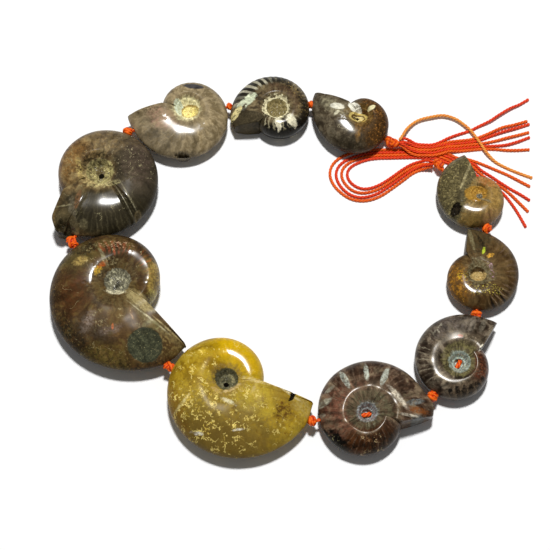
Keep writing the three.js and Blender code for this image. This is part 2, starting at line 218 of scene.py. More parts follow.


# %% [markdown]
# Eleven loose threads leave the two end knots. Each is one free cord with its real length, laid point by
# point: out of the knot, down to the table, then in the curves and crossings in which it was dropped. Seven
# start at the first knot. The other four leave the last knot, run to the left, fold back in a loop and come
# out under the tip of the tenth stone. All end cut. The stops are in tenths of a millimetre, because whole
# numbers are easier to read and to move by hand.

# %% Routes of the loose threads
START_TAILS = [
    [(431, 494, 44), (443, 514, 40), (460, 546, 28), (483, 572, 18), (510, 590, 15), (553, 602, 16),
     (603, 609, 16), (647, 596, 15), (675, 576, 15), (704, 547, 16), (725, 516, 16), (742, 488, 16),
     (762, 454, 15), (794, 420, 7), (824, 401, 5), (864, 381, 5), (904, 364, 5), (930, 354, 5)],
    [(431, 499, 33), (450, 508, 26), (470, 506, 14), (495, 495, 6), (530, 491, 5), (560, 492, 5),
     (590, 503, 5), (620, 518, 7), (655, 532, 7), (703, 549, 5), (736, 566, 7), (781, 588, 12),
     (819, 614, 14), (863, 642, 12), (896, 658, 8), (934, 682, 5)],
    [(431, 493, 24), (450, 497, 17), (470, 494, 9), (495, 484, 5), (530, 480, 5), (560, 481, 5),
     (590, 492, 5), (620, 502, 5), (655, 507, 5), (700, 512, 5), (737, 522, 5), (780, 540, 7),
     (827, 561, 10), (873, 573, 9), (924, 590, 5)],
    [(431, 488, 34), (450, 489, 31), (470, 486, 24), (495, 478, 16), (530, 475, 15), (560, 476, 15),
     (590, 484, 14), (620, 491, 7), (655, 496, 5), (700, 501, 5), (740, 510, 5), (783, 527, 6),
     (830, 544, 9), (880, 559, 8), (932, 577, 5)],
    [(431, 483, 24), (450, 479, 21), (470, 475, 16), (495, 466, 15), (530, 464, 15), (560, 465, 16),
     (590, 472, 15), (620, 481, 9), (655, 485, 5), (700, 490, 5), (747, 496, 5), (797, 506, 6),
     (841, 518, 9), (886, 530, 8), (928, 543, 5)],
    [(431, 483, 43), (450, 474, 36), (470, 464, 26), (495, 456, 16), (530, 454, 15), (560, 453, 15),
     (590, 461, 16), (620, 470, 12), (655, 474, 5), (700, 479, 5), (750, 484, 5), (797, 486, 5),
     (836, 489, 7), (876, 500, 8), (930, 522, 5)],
    [(431, 477, 33), (450, 468, 26), (470, 452, 19), (495, 443, 15), (530, 442, 15), (560, 442, 15),
     (590, 449, 16), (620, 459, 15), (655, 463, 7), (700, 468, 5), (752, 473, 5), (798, 472, 5),
     (840, 468, 6), (883, 468, 6), (926, 471, 5)],
]
END_TAILS = [
    [(553, 389, 32), (530, 388, 16), (504, 384, 5), (476, 370, 5), (450, 349, 5), (423, 328, 5),
     (393, 305, 5), (360, 282, 5), (324, 266, 5), (284, 260, 5), (245, 268, 5), (209, 292, 5),
     (180, 326, 5), (167, 364, 5), (174, 402, 5), (202, 434, 5), (244, 454, 5), (288, 464, 5),
     (334, 469, 5), (380, 470, 5), (430, 470, 5), (480, 471, 5), (525, 470, 5), (560, 469, 5),
     (594, 462, 5), (624, 449, 5), (651, 436, 5), (683, 432, 5), (718, 421, 5), (753, 406, 5),
     (796, 386, 5), (836, 367, 5), (874, 345, 6), (920, 318, 5)],
    [(553, 393, 43), (530, 396, 27), (504, 396, 10), (476, 384, 5), (446, 362, 5), (416, 339, 5),
     (386, 317, 5), (354, 295, 5), (320, 280, 5), (285, 274, 5), (251, 281, 5), (222, 301, 5),
     (199, 332, 5), (190, 366, 5), (198, 397, 5), (222, 422, 5), (256, 439, 5), (295, 451, 5),
     (340, 457, 5), (385, 458, 5), (430, 459, 5), (480, 460, 5), (525, 459, 5), (560, 458, 5),
     (590, 451, 5), (620, 438, 5), (647, 425, 5), (679, 421, 5), (713, 410, 5), (741, 384, 5),
     (775, 360, 5), (810, 334, 5), (845, 309, 5), (880, 287, 6), (916, 262, 5)],
    [(553, 400, 32), (530, 406, 16), (504, 406, 6), (476, 396, 5), (442, 374, 5), (412, 351, 5),
     (382, 329, 5), (352, 310, 5), (320, 297, 5), (288, 292, 5), (258, 299, 5), (232, 319, 5),
     (215, 346, 5), (211, 373, 5), (220, 397, 5), (242, 417, 5), (272, 431, 5), (310, 442, 5),
     (350, 446, 5), (390, 447, 5), (430, 448, 5), (480, 449, 5), (525, 448, 5), (560, 447, 5),
     (587, 440, 5), (615, 427, 5), (643, 414, 5), (675, 411, 5), (708, 399, 5), (729, 377, 5),
     (756, 353, 5), (788, 332, 5), (819, 311, 5), (846, 286, 5), (869, 260, 6), (908, 216, 5)],
    [(553, 404, 43), (530, 416, 24), (504, 418, 8), (476, 409, 5), (440, 387, 5), (410, 364, 5),
     (380, 342, 5), (350, 324, 5), (320, 312, 5), (292, 309, 5), (267, 317, 5), (245, 335, 5),
     (233, 359, 5), (235, 382, 5), (251, 402, 5), (280, 418, 5), (316, 430, 5), (352, 435, 5),
     (390, 436, 5), (430, 437, 5), (480, 438, 5), (525, 437, 5), (560, 435, 5), (584, 428, 5),
     (610, 416, 5), (640, 403, 5), (670, 400, 5), (698, 389, 5), (718, 368, 5), (739, 347, 5),
     (766, 330, 5), (794, 310, 5), (820, 287, 5), (843, 255, 5), (866, 216, 5), (896, 154, 5)],
]

# %% Loose threads
STOPS_IN_A_METRE = 10000
THREAD_STEP = 0.00025
SLACK = 1.22
FRAYED = 0.10
FRAY_LENGTH = 0.0012


def loose_thread(name, stops, material, turn):
    """One free cord along its smooth route, with its plies swelling at the cut end where they untwist. Slack
    plies stand apart a little, so the thread looks SLACK times as thick as when it is pulled tight."""
    path = smooth_route(np.array(stops) / STOPS_IN_A_METRE, THREAD_STEP)
    left = np.linspace(length_of(path), 0, len(path))
    swell = SLACK + FRAYED * np.exp(-left / FRAY_LENGTH)
    mesh = spun(name, path, THREAD, start_turn=turn, swell=swell)
    mesh.materials.append(material)
    piece = show(mesh, "thread", name)
    return length_of(path)


def lay_loose_threads(materials):
    """Both bunches. materials gives the dye lot of each thread, for they differ a little in colour."""
    routes = {f"tail_start_{i + 1}": stops for i, stops in enumerate(START_TAILS)}
    routes.update({f"tail_end_{i + 1}": stops for i, stops in enumerate(END_TAILS)})
    lengths = {
        name: loose_thread(name, stops, materials[name], i)
        for i, (name, stops) in enumerate(routes.items())
    }
    print("loose threads, in mm:", {name: round(1000 * long, 1) for name, long in lengths.items()})


# %% [markdown]
# An ammonite is one tube coiled in a plane, and its outline is a logarithmic spiral: each turn is a fixed
# number of times wider than the one before. So a stone is given by a few numbers: the pole of the spiral,
# the way it coils seen from above (1 is counter-clockwise), the bearing and radius of the tip of the last
# whorl, how far the tip is worn back, the growth per turn, the angle left open at the notch, the thickness,
# the radius of the umbilicus, which is the hollow at the pole, and the height of the hollow's floor above
# the middle plane, as a share of half the thickness. The same numbers made the solids, so stone and solid
# lie in one place.

# %% The ten stones
from types import SimpleNamespace

WORN_ANGLE = 10
UMBILICUS_EDGE = 0.74
RIM_FULLNESS = 0.56
LEAN_REACH = 0.012
THIN_SIDE = 0.14
FLAT_GROUND = 0.00035
RIM_BAND = 0.02
LIP_ROUNDING = 0.0008


def stone(pole, coil, tip, reach, worn, growth, notch, thick, navel, floor, **relief):
    """The numbers of one stone. relief overrides the quiet defaults:
    ribs, as (count, height, first share, sweep); grooves, as (degrees back, width in degrees, depth, bend);
    dents, as (x, y, long, wide, turn, depth) from the pole; lean, the slope along x and y;
    crest, its share of the width at the lip and a turn on; shoulder and flat, the powers of the slopes inside
    and outside it; uneven, the height of the waves left by polishing; jagged, the raggedness of the
    umbilicus's edge; inner_whorls, how many times wider each whorl in it is than the next, and coils_relief,
    the height of their bulges; crystals, the height of the grains in it; pit, the share of its radius that is
    deeper and how far the rest of its floor rises; through_pole, whether the bore opens into it;
    wear, the degrees over which the wear of the tip fades; lip, points on a lip that isn't straight;
    whole, the radius at which the whorl would close beyond the lip."""
    quiet = dict(ribs=(30, 0.0, 0.5, 0.8), grooves=(), dents=(), lean=(0, 0), shoulder=2.2, flat=2.3,
                 crest=(0.24, 0.24), jagged=0.0, uneven=0.00008, inner_whorls=2.1, coils_relief=0.0006,
                 crystals=0.00018, through_pole=False, pit=(0.0, 0.0), wear=WORN_ANGLE, lip=(), whole=reach)
    numbers = dict(pole=pole, coil=coil, tip=tip, reach=reach, worn=worn, growth=growth, notch=notch,
                   thick=thick, navel=navel, floor=floor)
    return SimpleNamespace(**{**quiet, **numbers, **relief})


STONES = {
    "ammonite_01": stone((0.0285, 0.0569), -1, 148, 0.0189, -0.0017, 2.79, 15, 0.0120, 0.0031, 0.35,
                         wear=30, lean=(0.004, 0.052)),
    "ammonite_02": stone((-0.0034, 0.0600), 1, -156, 0.0185, 0.0009, 2.07, 19, 0.0120, 0.0043, 0.45,
                         ribs=(40, 0.00012, 0.5, 0.5), jagged=0.16, lean=(0.07, 0.03)),
    "ammonite_03": stone((-0.0371, 0.0595), -1, -176, 0.0225, -0.0004, 2.30, 13, 0.0125, 0.0043, 0.40,
                         ribs=(30, 0.00007, 0.5, 0.9), lean=(-0.019, 0.097),
                         dents=((-0.0015, -0.0186, 0.0031, 0.0014, -6, 0.0034),)),
    "ammonite_04": stone((-0.0690, 0.0333), -1, -118, 0.0254, -0.0016, 1.74, 31, 0.0140, 0.0056, 0.40,
                         grooves=((72, 1.5, 0.0009, -7), (65, 1.3, 0.0007, -6)), jagged=0.08, whole=0.031,
                         lean=(-0.03, 0.035),
                         lip=((-0.0152, -0.0130), (-0.0173, -0.0184), (-0.0156, -0.0234)),
                         dents=((-0.0125, -0.0235, 0.0034, 0.0040, 20, 0.0030),)),
    "ammonite_05": stone((-0.0610, -0.0103), 1, -43, 0.0364, 0.0022, 2.78, 6, 0.0155, 0.0052, 0.40,
                         lean=(-0.09, 0.057), crest=(0.25, 0.6)),
    "ammonite_06": stone((-0.0211, -0.0472), 1, -14, 0.0334, 0.0019, 2.70, 10, 0.0150, 0.0044, 0.30,
                         lean=(-0.15, -0.008), crest=(0.25, 0.5),
                         dents=((0.0232, -0.0060, 0.0022, 0.0006, 62, 0.0010),)),
    "ammonite_07": stone((0.0283, -0.0587), -1, 8, 0.0228, -0.0016, 1.83, 25, 0.0130, 0.0037, -0.10,
                         lip=((0.0162, -0.0029), (0.0200, -0.0020), (0.0236, -0.0010)), whole=0.0240,
                         ribs=(44, 0.00005, 0.5, 0.7), shoulder=1.3, crest=(0.34, 0.34), flat=1.7,
                         pit=(0.45, 0.30), through_pole=True, uneven=0.00020),
    "ammonite_08": stone((0.0618, -0.0399), -1, 47, 0.0206, -0.0007, 2.13, 15, 0.0115, 0.0040, -0.10,
                         ribs=(40, 0.00005, 0.5, 0.5), shoulder=1.8, crest=(0.34, 0.34), flat=2.6,
                         pit=(0.42, 0.30), through_pole=True, lean=(-0.015, -0.039), uneven=0.00012),
    "ammonite_09": stone((0.0698, -0.0063), 1, 98, 0.0186, -0.0004, 2.01, 18, 0.0105, 0.0031, 0.40,
                         ribs=(36, 0.00005, 0.45, 0.5), lean=(0.045, -0.09)),
    "ammonite_10": stone((0.0713, 0.0254), -1, 104, 0.0178, 0.0001, 2.31, 9, 0.0105, 0.0030, 0.50,
                         lean=(0.085, -0.058),
                         dents=((-0.0084, -0.0062, 0.0016, 0.0024, -18, 0.0016),)),
}
print("reach of the stones, in mm:", [round(1000 * shell.reach, 1) for shell in STONES.values()])

# %% [markdown]
# The knots sit between the stones, in the crevices where the drilled holes open, so each hole runs straight
# from one knot to the next. In two stones it opens into the umbilicus, and the thread shows there. Each
# knot is given by its middle, half its length along the string and half its width.

# %% Knots and bores
BORE = 0.00195
KNOTS = [
    ((0.0401, 0.0488, 0.0034), 0.0034, 0.0022),
    ((0.0097, 0.0633, 0.0060), 0.0014, 0.0017),
    ((-0.0214, 0.0625, 0.0061), 0.0012, 0.0016),
    ((-0.0596, 0.0517, 0.0066), 0.0017, 0.0022),
    ((-0.0788, 0.0066, 0.0073), 0.0030, 0.0020),
    ((-0.0416, -0.0412, 0.0076), 0.0028, 0.0018),
    ((0.0090, -0.0610, 0.0070), 0.0019, 0.0022),
    ((0.0521, -0.0517, 0.0061), 0.0021, 0.0022),
    ((0.0690, -0.0207, 0.0055), 0.0015, 0.0023),
    ((0.0745, 0.0128, 0.0052), 0.0019, 0.0021),
    ((0.0577, 0.0394, 0.0038), 0.0028, 0.0021),
]


def bore_line(name):
    """The corners of a stone's bore: from the knot before it to the knot after it, by way of the pole where
    the bore opens into the umbilicus."""
    shell = STONES[name]
    place = list(STONES).index(name)
    corners = [KNOTS[place][0], KNOTS[place + 1][0]]
    if shell.through_pole:
        corners.insert(1, (*shell.pole, shell.thick / 2))
    return np.array(corners)


print("bores, in mm:", [round(1000 * length_of(bore_line(name)), 1) for name in STONES])


# %% [markdown]
# The stone is one closed skin woven from rings: from the middle of the upper umbilicus out over the flank,
# round the rim, and back under to the middle of the lower umbilicus. The columns follow the spiral from the
# tip back to the notch, and then the straight lip across to the tip again. Sculpting by hand could not keep
# ten stones in step with their solids. A formula for the height of a whorl over its width can, and ribs,
# grooves, dents and the slight unevenness of hand polishing are added to that height. Two small formulas
# are used all over: a smooth step from 0 to 1, and random lumps that are the same each time.

# %% Steps and lumps
WAVES = 14
WAVES_REACH = 5.3


def smooth(low, high, value):
    """0 below low, 1 above high, and an S-shaped rise between them."""
    t = np.clip((value - low) / (high - low), 0, 1)
    return t * t * (3 - 2 * t)


def lumps(x, y, size, seed):
    """Smooth random relief of about -1 to 1: the sum of fourteen sine waves across the plane, each with a
    random heading, start and wavelength near size, divided by the height that such a sum reaches."""
    chance = np.random.default_rng(seed)
    heading, start = chance.uniform(0, 2 * np.pi, (2, WAVES))
    pace = 2 * np.pi / (size * chance.uniform(0.7, 1.6, WAVES))
    phase = x[..., None] * (pace * np.cos(heading)) + y[..., None] * (pace * np.sin(heading)) + start
    return np.sin(phase).sum(-1) / WAVES_REACH


# %% [markdown]
# From above, a stone is its spiral and its lip. From the side, a whorl is a smooth hill between the
# umbilicus and the rim. Both are formulas: one gives the outline for each column, the other the height for
# each row.

# %% Shape of a whorl
SPIRAL_COLUMNS = 380
LIP_COLUMNS = 40
FAR_END = (190, 280)
LIP_SMOOTHING = 6


def outline_radius(shell, back):
    """Radius of the outline some degrees back from the tip: reach / growth^(turns back), less the wear at
    the tip."""
    return shell.reach * shell.growth ** (-back / 360) - shell.worn * np.exp(-((back / shell.wear) ** 2))


def whorl_height(share, back, shell):
    """Height of a whorl over its middle plane, 1 at the crest: it falls with a power of the distance on the
    side of the umbilicus, and like a rounded edge, (1 - out^flat)^fullness, on the side of the rim. The
    crest lies at one share of the width near the lip and may lie at another at the other end of the last
    whorl. What lies further back than the notch is the lip itself."""
    moved = smooth(*FAR_END, back) * (back <= 360 - shell.notch)
    crest = shell.crest[0] + (shell.crest[1] - shell.crest[0]) * moved
    inner = 1 - (1 - UMBILICUS_EDGE) * np.clip((crest - share) / crest, 0, 1) ** shell.shoulder
    out = np.clip((share - crest) / (1 - crest), 0, 1)
    return np.where(share < crest, inner, (1 - out**shell.flat) ** RIM_FULLNESS)


def stone_columns(shell):
    """Bearing, radius, radius of the whole whorl, and degrees back from the tip, for every column: the
    spiral back to the notch, then points along the lip, whose corners are rounded a little by averaging
    neighbours. On the lip the whole whorl goes on outside the cut."""
    last = 360 - shell.notch
    back = np.linspace(0, last, SPIRAL_COLUMNS)
    radius = outline_radius(shell, back)
    bearing = np.radians(shell.tip - shell.coil * back)
    edge = radius[:, None] * np.stack([np.cos(bearing), np.sin(bearing)], -1)
    corners = np.array([edge[-1], *shell.lip, edge[0]])
    run = np.concatenate([[0], np.cumsum(np.linalg.norm(np.diff(corners, axis=0), axis=1))])
    places = np.linspace(0, run[-1], LIP_COLUMNS + 1)
    lip = np.stack([np.interp(places, run, corners[:, i]) for i in range(2)], -1)
    for _ in range(LIP_SMOOTHING):
        lip[1:-1] = (lip[:-2] + 2 * lip[1:-1] + lip[2:]) / 4
    lip = lip[1:-1]
    lip_bearing = np.arctan2(lip[:, 1], lip[:, 0])
    lip_back = np.degrees(shell.coil * (np.radians(shell.tip) - lip_bearing)) % 360
    bearing = np.concatenate([bearing, lip_bearing])
    whole = np.concatenate([radius, np.full(LIP_COLUMNS - 1, shell.whole)])
    radius = np.concatenate([radius, np.linalg.norm(lip, axis=1)])
    back = np.concatenate([back, lip_back])
    return (x if shell.coil == -1 else x[::-1] for x in (bearing, radius, whole, back))


# %% [markdown]
# The hollow at the pole isn't a plain dish. Its wall drops to a floor on which the earlier whorls of the
# coil show, each about half as wide as the next. Their seams are the same kind of spiral, so the relief is
# a row of rounded bulges over the phase ln(radius) / ln(growth) - turns back, which is whole at every seam.

# %% Umbilicus
WALL_FOOT = 0.58
SEAM = 0.8
GRAIN = 0.0011


def umbilicus(shell, radius, back, edge_height, floor, seed):
    """Height inside the umbilicus, over the middle plane: the wall from its edge down to the floor, and on
    the floor the bulges of the inner whorls, lower towards the pole."""
    share = radius / shell.navel
    edge, rise = shell.pit
    floor = (floor + rise * smooth(edge - 0.08, edge + 0.08, share)) * shell.thick / 2
    ragged = shell.jagged * lumps(np.cos(np.radians(back)), np.sin(np.radians(back)), 0.9, seed)
    wall = smooth(WALL_FOOT, 1.0, share + ragged * smooth(1.0, 0.7, share))
    phase = np.log(np.maximum(share, 0.02) / SEAM) / np.log(shell.inner_whorls) + back / 360
    bulge = np.abs(np.sin(np.pi * phase)) ** 0.7
    turned = np.radians(back)
    grains = lumps(radius * np.cos(turned), radius * np.sin(turned), GRAIN, seed + 20)
    grains = grains * smooth(1.05, 0.85, share)
    coils = shell.coils_relief * (bulge - 0.6) * share * (1 - wall)
    return floor + (edge_height - floor) * wall**0.8 + coils + shell.crystals * grains


# %% [markdown]
# The flank is not smooth. Ribs cross it where they weren't ground away, grooves mark the places where the
# animal paused as it grew, and a chip or an air hole breaks the skin here and there. All of them are small
# heights that are added to the whorl or taken off it, so they follow the coil.

# %% Ribs, grooves and dents
POLISH_LUMPS = 0.009
DENT_LUMPS = 0.0013
DENT_RAGGED = 0.22


def relief(shell, x, y, share, back, seed):
    """What is added to the height of the flank: ribs, less grooves, plus the unevenness of the polish."""
    count, height, first, sweep = shell.ribs
    rib = np.cos(2 * np.pi * (count * back / 360 + sweep * share**2))
    added = height * rib * smooth(first, first + 0.3, share) * smooth(1.02, 0.9, share)
    for where, width, depth, bend in shell.grooves:
        off = (back - where - bend * share**2) / width
        added = added - depth * np.exp(-(off**2)) * smooth(0.0, 0.2, share)
    return added + shell.uneven * lumps(x, y, POLISH_LUMPS, seed) * smooth(0, 0.15, share)


def dented(shell, x, y, seed):
    """Depth of the chips and pits at each point, and how far inside one it lies, 0 to 1. Each dent is an
    ellipse whose edge is made ragged by small lumps."""
    depth, inside = np.zeros_like(x), np.zeros_like(x)
    for across, up, long, wide, turn, deep in shell.dents:
        turn = np.radians(turn)
        dx, dy = x - across, y - up
        along = (dx * np.cos(turn) + dy * np.sin(turn)) / long
        beside = (dy * np.cos(turn) - dx * np.sin(turn)) / wide
        ragged = DENT_RAGGED * lumps(x, y, DENT_LUMPS, seed)
        within = smooth(1.15, 0.55, np.hypot(along, beside) + ragged)
        depth = np.maximum(depth, deep * within)
        inside = np.maximum(inside, within)
    return depth, inside


# %% [markdown]
# Now the rows are put together. Five parts follow one another from the middle of the top to the middle of
# the underside: the hollow, the flank, the thin side wall, the underside and the hollow below. The side
# wall is a hair's breadth at the rim and a real wall at the lip, where the whorl was cut across. The
# underside is the same whorl, ground flat where it touches the table.

# %% Skin of a stone
HOLLOW_ROWS = 30
FLANK_ROWS = 62
WALL_ROWS = 5
UNDER_ROWS = 44
UNDER_HOLLOW_ROWS = 14
UNDER_FLOOR = 0.45


def stone_skin(name):
    """The closed skin of a stone and the marks on it: turns back from the tip, share of the way from
    umbilicus to rim (less than 0 inside the umbilicus), face (1 above, -1 below) and dent."""
    shell, seed = STONES[name], int(name[-2:])
    bearing, edge, whole, back = stone_columns(shell)
    middle = shell.thick / 2
    in_hollow = np.linspace(0.03, 1, HOLLOW_ROWS, endpoint=False)[:, None] * shell.navel
    out = np.sin(np.linspace(0, np.pi / 2, FLANK_ROWS))[:, None]
    back_in = np.cos(np.linspace(0, np.pi / 2, UNDER_ROWS))[:, None]
    under_in = np.linspace(1, 0.04, UNDER_HOLLOW_ROWS + 1)[1:, None] * shell.navel
    outside = np.concatenate([out, np.ones((WALL_ROWS, 1)), back_in])
    radius = np.concatenate([
        in_hollow + 0 * edge, shell.navel + outside * (edge - shell.navel), under_in + 0 * edge])
    counts = [HOLLOW_ROWS, FLANK_ROWS, WALL_ROWS, UNDER_ROWS, UNDER_HOLLOW_ROWS]
    part = np.repeat(np.arange(5), counts)[:, None] + 0 * radius
    rim = HOLLOW_ROWS + FLANK_ROWS
    x, y = radius * np.cos(bearing), radius * np.sin(bearing)
    share = (radius - shell.navel) / (whole - shell.navel)
    back = back + 0 * radius
    thinning = 1 - THIN_SIDE * (1 - np.cos(np.radians(back))) / 2
    high = np.maximum(whorl_height(np.clip(share, 0, 1), back, shell), RIM_BAND)
    to_edge = np.clip(LIP_ROUNDING - (edge - radius), 0, LIP_ROUNDING)
    rounding = LIP_ROUNDING - np.sqrt(LIP_ROUNDING**2 - to_edge**2)
    cut = np.clip(high[rim] / 0.4, 0, 1)
    leaning = (shell.lean[0] * x + shell.lean[1] * y) * np.tanh(radius / LEAN_REACH) * LEAN_REACH / radius
    top = (middle * thinning + leaning) * high - rounding * cut + relief(shell, x, y, share, back, seed)
    bottom = np.maximum(-middle, -(middle + FLAT_GROUND) * high) + rounding * cut
    edge_up = (middle * thinning + leaning) * UMBILICUS_EDGE
    edge_down = (middle + FLAT_GROUND) * UMBILICUS_EDGE
    hollow_up = umbilicus(shell, radius, back, edge_up, shell.floor, seed)
    hollow_down = -umbilicus(shell, radius, back, edge_down, max(shell.floor, UNDER_FLOOR), seed)
    row = np.clip(np.arange(len(radius)) - rim, 0, WALL_ROWS - 1)[:, None]
    wall_top, wall_foot = top[rim - 1], bottom[rim + WALL_ROWS]
    wall_z = wall_top + (wall_foot - wall_top) * row / (WALL_ROWS - 1)
    z = np.select([part == 0, part == 1, part == 2, part == 3], [hollow_up, top, wall_z, bottom], hollow_down)
    depth, inside = dented(shell, x, y, seed)
    z = np.where(part <= 1, z - depth, z)
    grid = np.stack([shell.pole[0] + x, shell.pole[1] + y, middle + z], -1)
    ends = [(*shell.pole, grid[0, :, 2].mean()), (*shell.pole, grid[-1, :, 2].mean())]
    in_hollows = (part == 0) | (part == 4)
    marks = {
        "back": back / 360,
        "share": np.where(in_hollows, radius / shell.navel - 1, share),
        "face": np.array([1, 1, 0, -1, -1])[part.astype(int)],
        "dent": inside * (part <= 1),
    }
    return woven(name, grid, ends, marks)


# %% [markdown]
# The hole was drilled after the stone was shaped, so here it is cut out of the finished skin too. A Boolean
# modifier does that with a round bar along the bore, and its result is kept as the mesh. The bar carries
# the rough finish of a drilled wall over to the faces that it leaves in the stone.

# %% Drilling
CREASE_ANGLE = np.radians(48)
BORE_STEP = 0.002
ROUND_BORE = 28


def drilled(mesh, line, wall_material):
    """The same stone with its bore cut through it along the line, and its sharp edges marked."""
    path = evenly(line, BORE_STEP)
    tangent = np.gradient(path, axis=0)
    tangent /= np.linalg.norm(tangent, axis=1, keepdims=True)
    side = np.cross(tangent, (0, 0, 1.0))
    side /= np.linalg.norm(side, axis=1, keepdims=True)
    upward = np.cross(side, tangent)
    angle = 2 * np.pi * np.arange(ROUND_BORE)[:, None] / ROUND_BORE
    ring = side[:, None] * np.cos(angle) + upward[:, None] * np.sin(angle)
    bar = woven(mesh.name + "_bore", path[:, None] + BORE / 2 * ring, path[[0, -1]])
    bar.materials.append(wall_material)
    cutter = bpy.data.objects.new(bar.name, bar)
    work = bpy.data.objects.new(mesh.name + "_work", mesh)
    for thing in (cutter, work):
        scene.collection.objects.link(thing)
    cut = work.modifiers.new("bore", "BOOLEAN")
    cut.operation = "DIFFERENCE"
    cut.solver = "MANIFOLD"
    cut.material_mode = "TRANSFER"
    cut.object = cutter
    done = bpy.data.meshes.new_from_object(work.evaluated_get(bpy.context.evaluated_depsgraph_get()))
    for thing in (cutter, work):
        bpy.data.objects.remove(thing)
    bpy.data.meshes.remove(mesh)
    done.set_sharp_from_angle(angle=CREASE_ANGLE)
    return done


# %% [markdown]
# The finishes are written as shader nodes. Drawn by hand in the node editor, ten stones would take hundreds
# of nodes. Two small helpers write them instead: one adds a node and fills its sockets, the other makes a
# node group with named sockets. Colours are given as they look on the lit table, from 0 to 255, and are
# turned into reflectance by taking out the display curve and the brightness of the light.

# %% Writing shader nodes
TABLE_LIGHT = 1.2


def shade(red, green, blue):
    """Reflectance of a surface that shows this colour on the lit table."""
    shown_as = np.array([red, green, blue]) / 255
    linear = np.where(shown_as < 0.04045, shown_as / 12.92, ((shown_as + 0.055) / 1.055) ** 2.4)
    return (*(linear / TABLE_LIGHT), 1.0)


class Nodes:
    """Writes one node tree in short calls. A value that is a socket is linked, any other is typed in."""

    def __init__(self, tree):
        self.tree = tree

    def fill(self, socket, value):
        if isinstance(value, bpy.types.NodeSocket):
            self.tree.links.new(value, socket)
        elif value is not None:
            socket.default_value = value

    def add(self, kind, *values, **settings):
        """A node of some kind, with its settings and its sockets filled in order."""
        node = self.tree.nodes.new(kind)
        for setting, value in settings.items():
            setattr(node, setting, value)
        for socket, value in zip(node.inputs, values):
            self.fill(socket, value)
        return node

    def math(self, operation, *values):
        return self.add("ShaderNodeMath", *values, operation=operation).outputs[0]

    def times(self, one, other):
        return self.math("MULTIPLY", one, other)

    def pace(self, size):
        """The scale that a texture needs for cells or lumps of some size."""
        return self.math("DIVIDE", 1.0, size)

    def mark(self, name):
        """A number stored beside the points of the mesh."""
        return self.add("ShaderNodeAttribute", attribute_name=name).outputs["Fac"]

    def between(self, value, low, high):
        """0 at low, 1 at high, with an S-shaped rise; low may be the greater one."""
        rise = self.add("ShaderNodeMapRange", value, low, high, 0.0, 1.0, interpolation_type="SMOOTHSTEP")
        return rise.outputs[0]

    def vector(self, operation, *values):
        return self.add("ShaderNodeVectorMath", *values, operation=operation).outputs[0]

    def scaled(self, vector, scale):
        """A vector made a number of times longer."""
        return self.add("ShaderNodeVectorMath", vector, None, None, scale, operation="SCALE").outputs[0]

    def noise(self, place, size, detail=2.0, rough=0.5):
        """Soft random value about 0.5, with lumps of the given size."""
        return self.add("ShaderNodeTexNoise", place, None, self.pace(size), detail, rough).outputs[0]

    def wobble(self, *noise):
        """The same noise about 0."""
        return self.math("SUBTRACT", self.noise(*noise), 0.5)

    def within(self, value, first, last, soft):
        """1 from first to last, with an S-shaped rise and fall about them, soft on either side."""
        starts, full = (self.math(way, first, soft) for way in ("SUBTRACT", "ADD"))
        fades, gone = (self.math(way, last, soft) for way in ("SUBTRACT", "ADD"))
        return self.times(self.between(value, starts, full), self.between(value, gone, fades))

    def mix(self, share, under, over):
        """A colour laid over another."""
        node = self.add("ShaderNodeMix", data_type="RGBA")
        for socket, value in zip((node.inputs[0], node.inputs[6], node.inputs[7]), (share, under, over)):
            self.fill(socket, value)
        return node.outputs[2]

    def blend(self, share, under, over):
        """A number laid over another: under + share (over - under)."""
        return self.add("ShaderNodeMapRange", share, 0.0, 1.0, under, over).outputs[0]

    def ramp(self, value, stops):
        """A colour for each value, through the stops (place, colour)."""
        node = self.add("ShaderNodeValToRGB", value)
        elements = node.color_ramp.elements
        elements[0].position, elements[0].color = stops[0]
        elements[1].position, elements[1].color = stops[-1]
        for place, colour in stops[1:-1]:
            elements.new(place).color = colour
        return node.outputs[0]

    def use(self, tree, **values):
        """A node that stands for a group, with its named sockets filled."""
        node = self.add("ShaderNodeGroup", node_tree=tree)
        for name, value in values.items():
            self.fill(node.inputs[name], value)
        return node.outputs[0]


# %% [markdown]
# A node group is a recipe with named inputs. Each kind of marking is made once as a group and is then used
# on all the stones with other sizes and places.

# %% Making a node group


def group(name, result, **inputs):
    """A node group whose inputs are numbers, or vectors where None is given. Returns it, a writer for it,
    its input sockets by name and a function that ends it with the result."""
    tree = bpy.data.node_groups.new(name, "ShaderNodeTree")
    for label, value in inputs.items():
        kind = "NodeSocketVector" if value is None else "NodeSocketFloat"
        socket = tree.interface.new_socket(label, in_out="INPUT", socket_type=kind)
        if value is not None:
            socket.default_value = value
    tree.interface.new_socket(result, in_out="OUTPUT", socket_type="NodeSocketFloat")
    writer = Nodes(tree)
    sockets = writer.add("NodeGroupInput").outputs
    return tree, writer, sockets, lambda value: writer.add("NodeGroupOutput", value)


# %% [markdown]
# A fossil's colours come in patches: calcite here, mother of pearl there, a lump of the old sea bed where
# the shell was broken. A hard ellipse would look like a sticker, so the patch is an ellipse whose edge is
# pushed in and out by noise. Places are in millimetres from the pole of the stone.

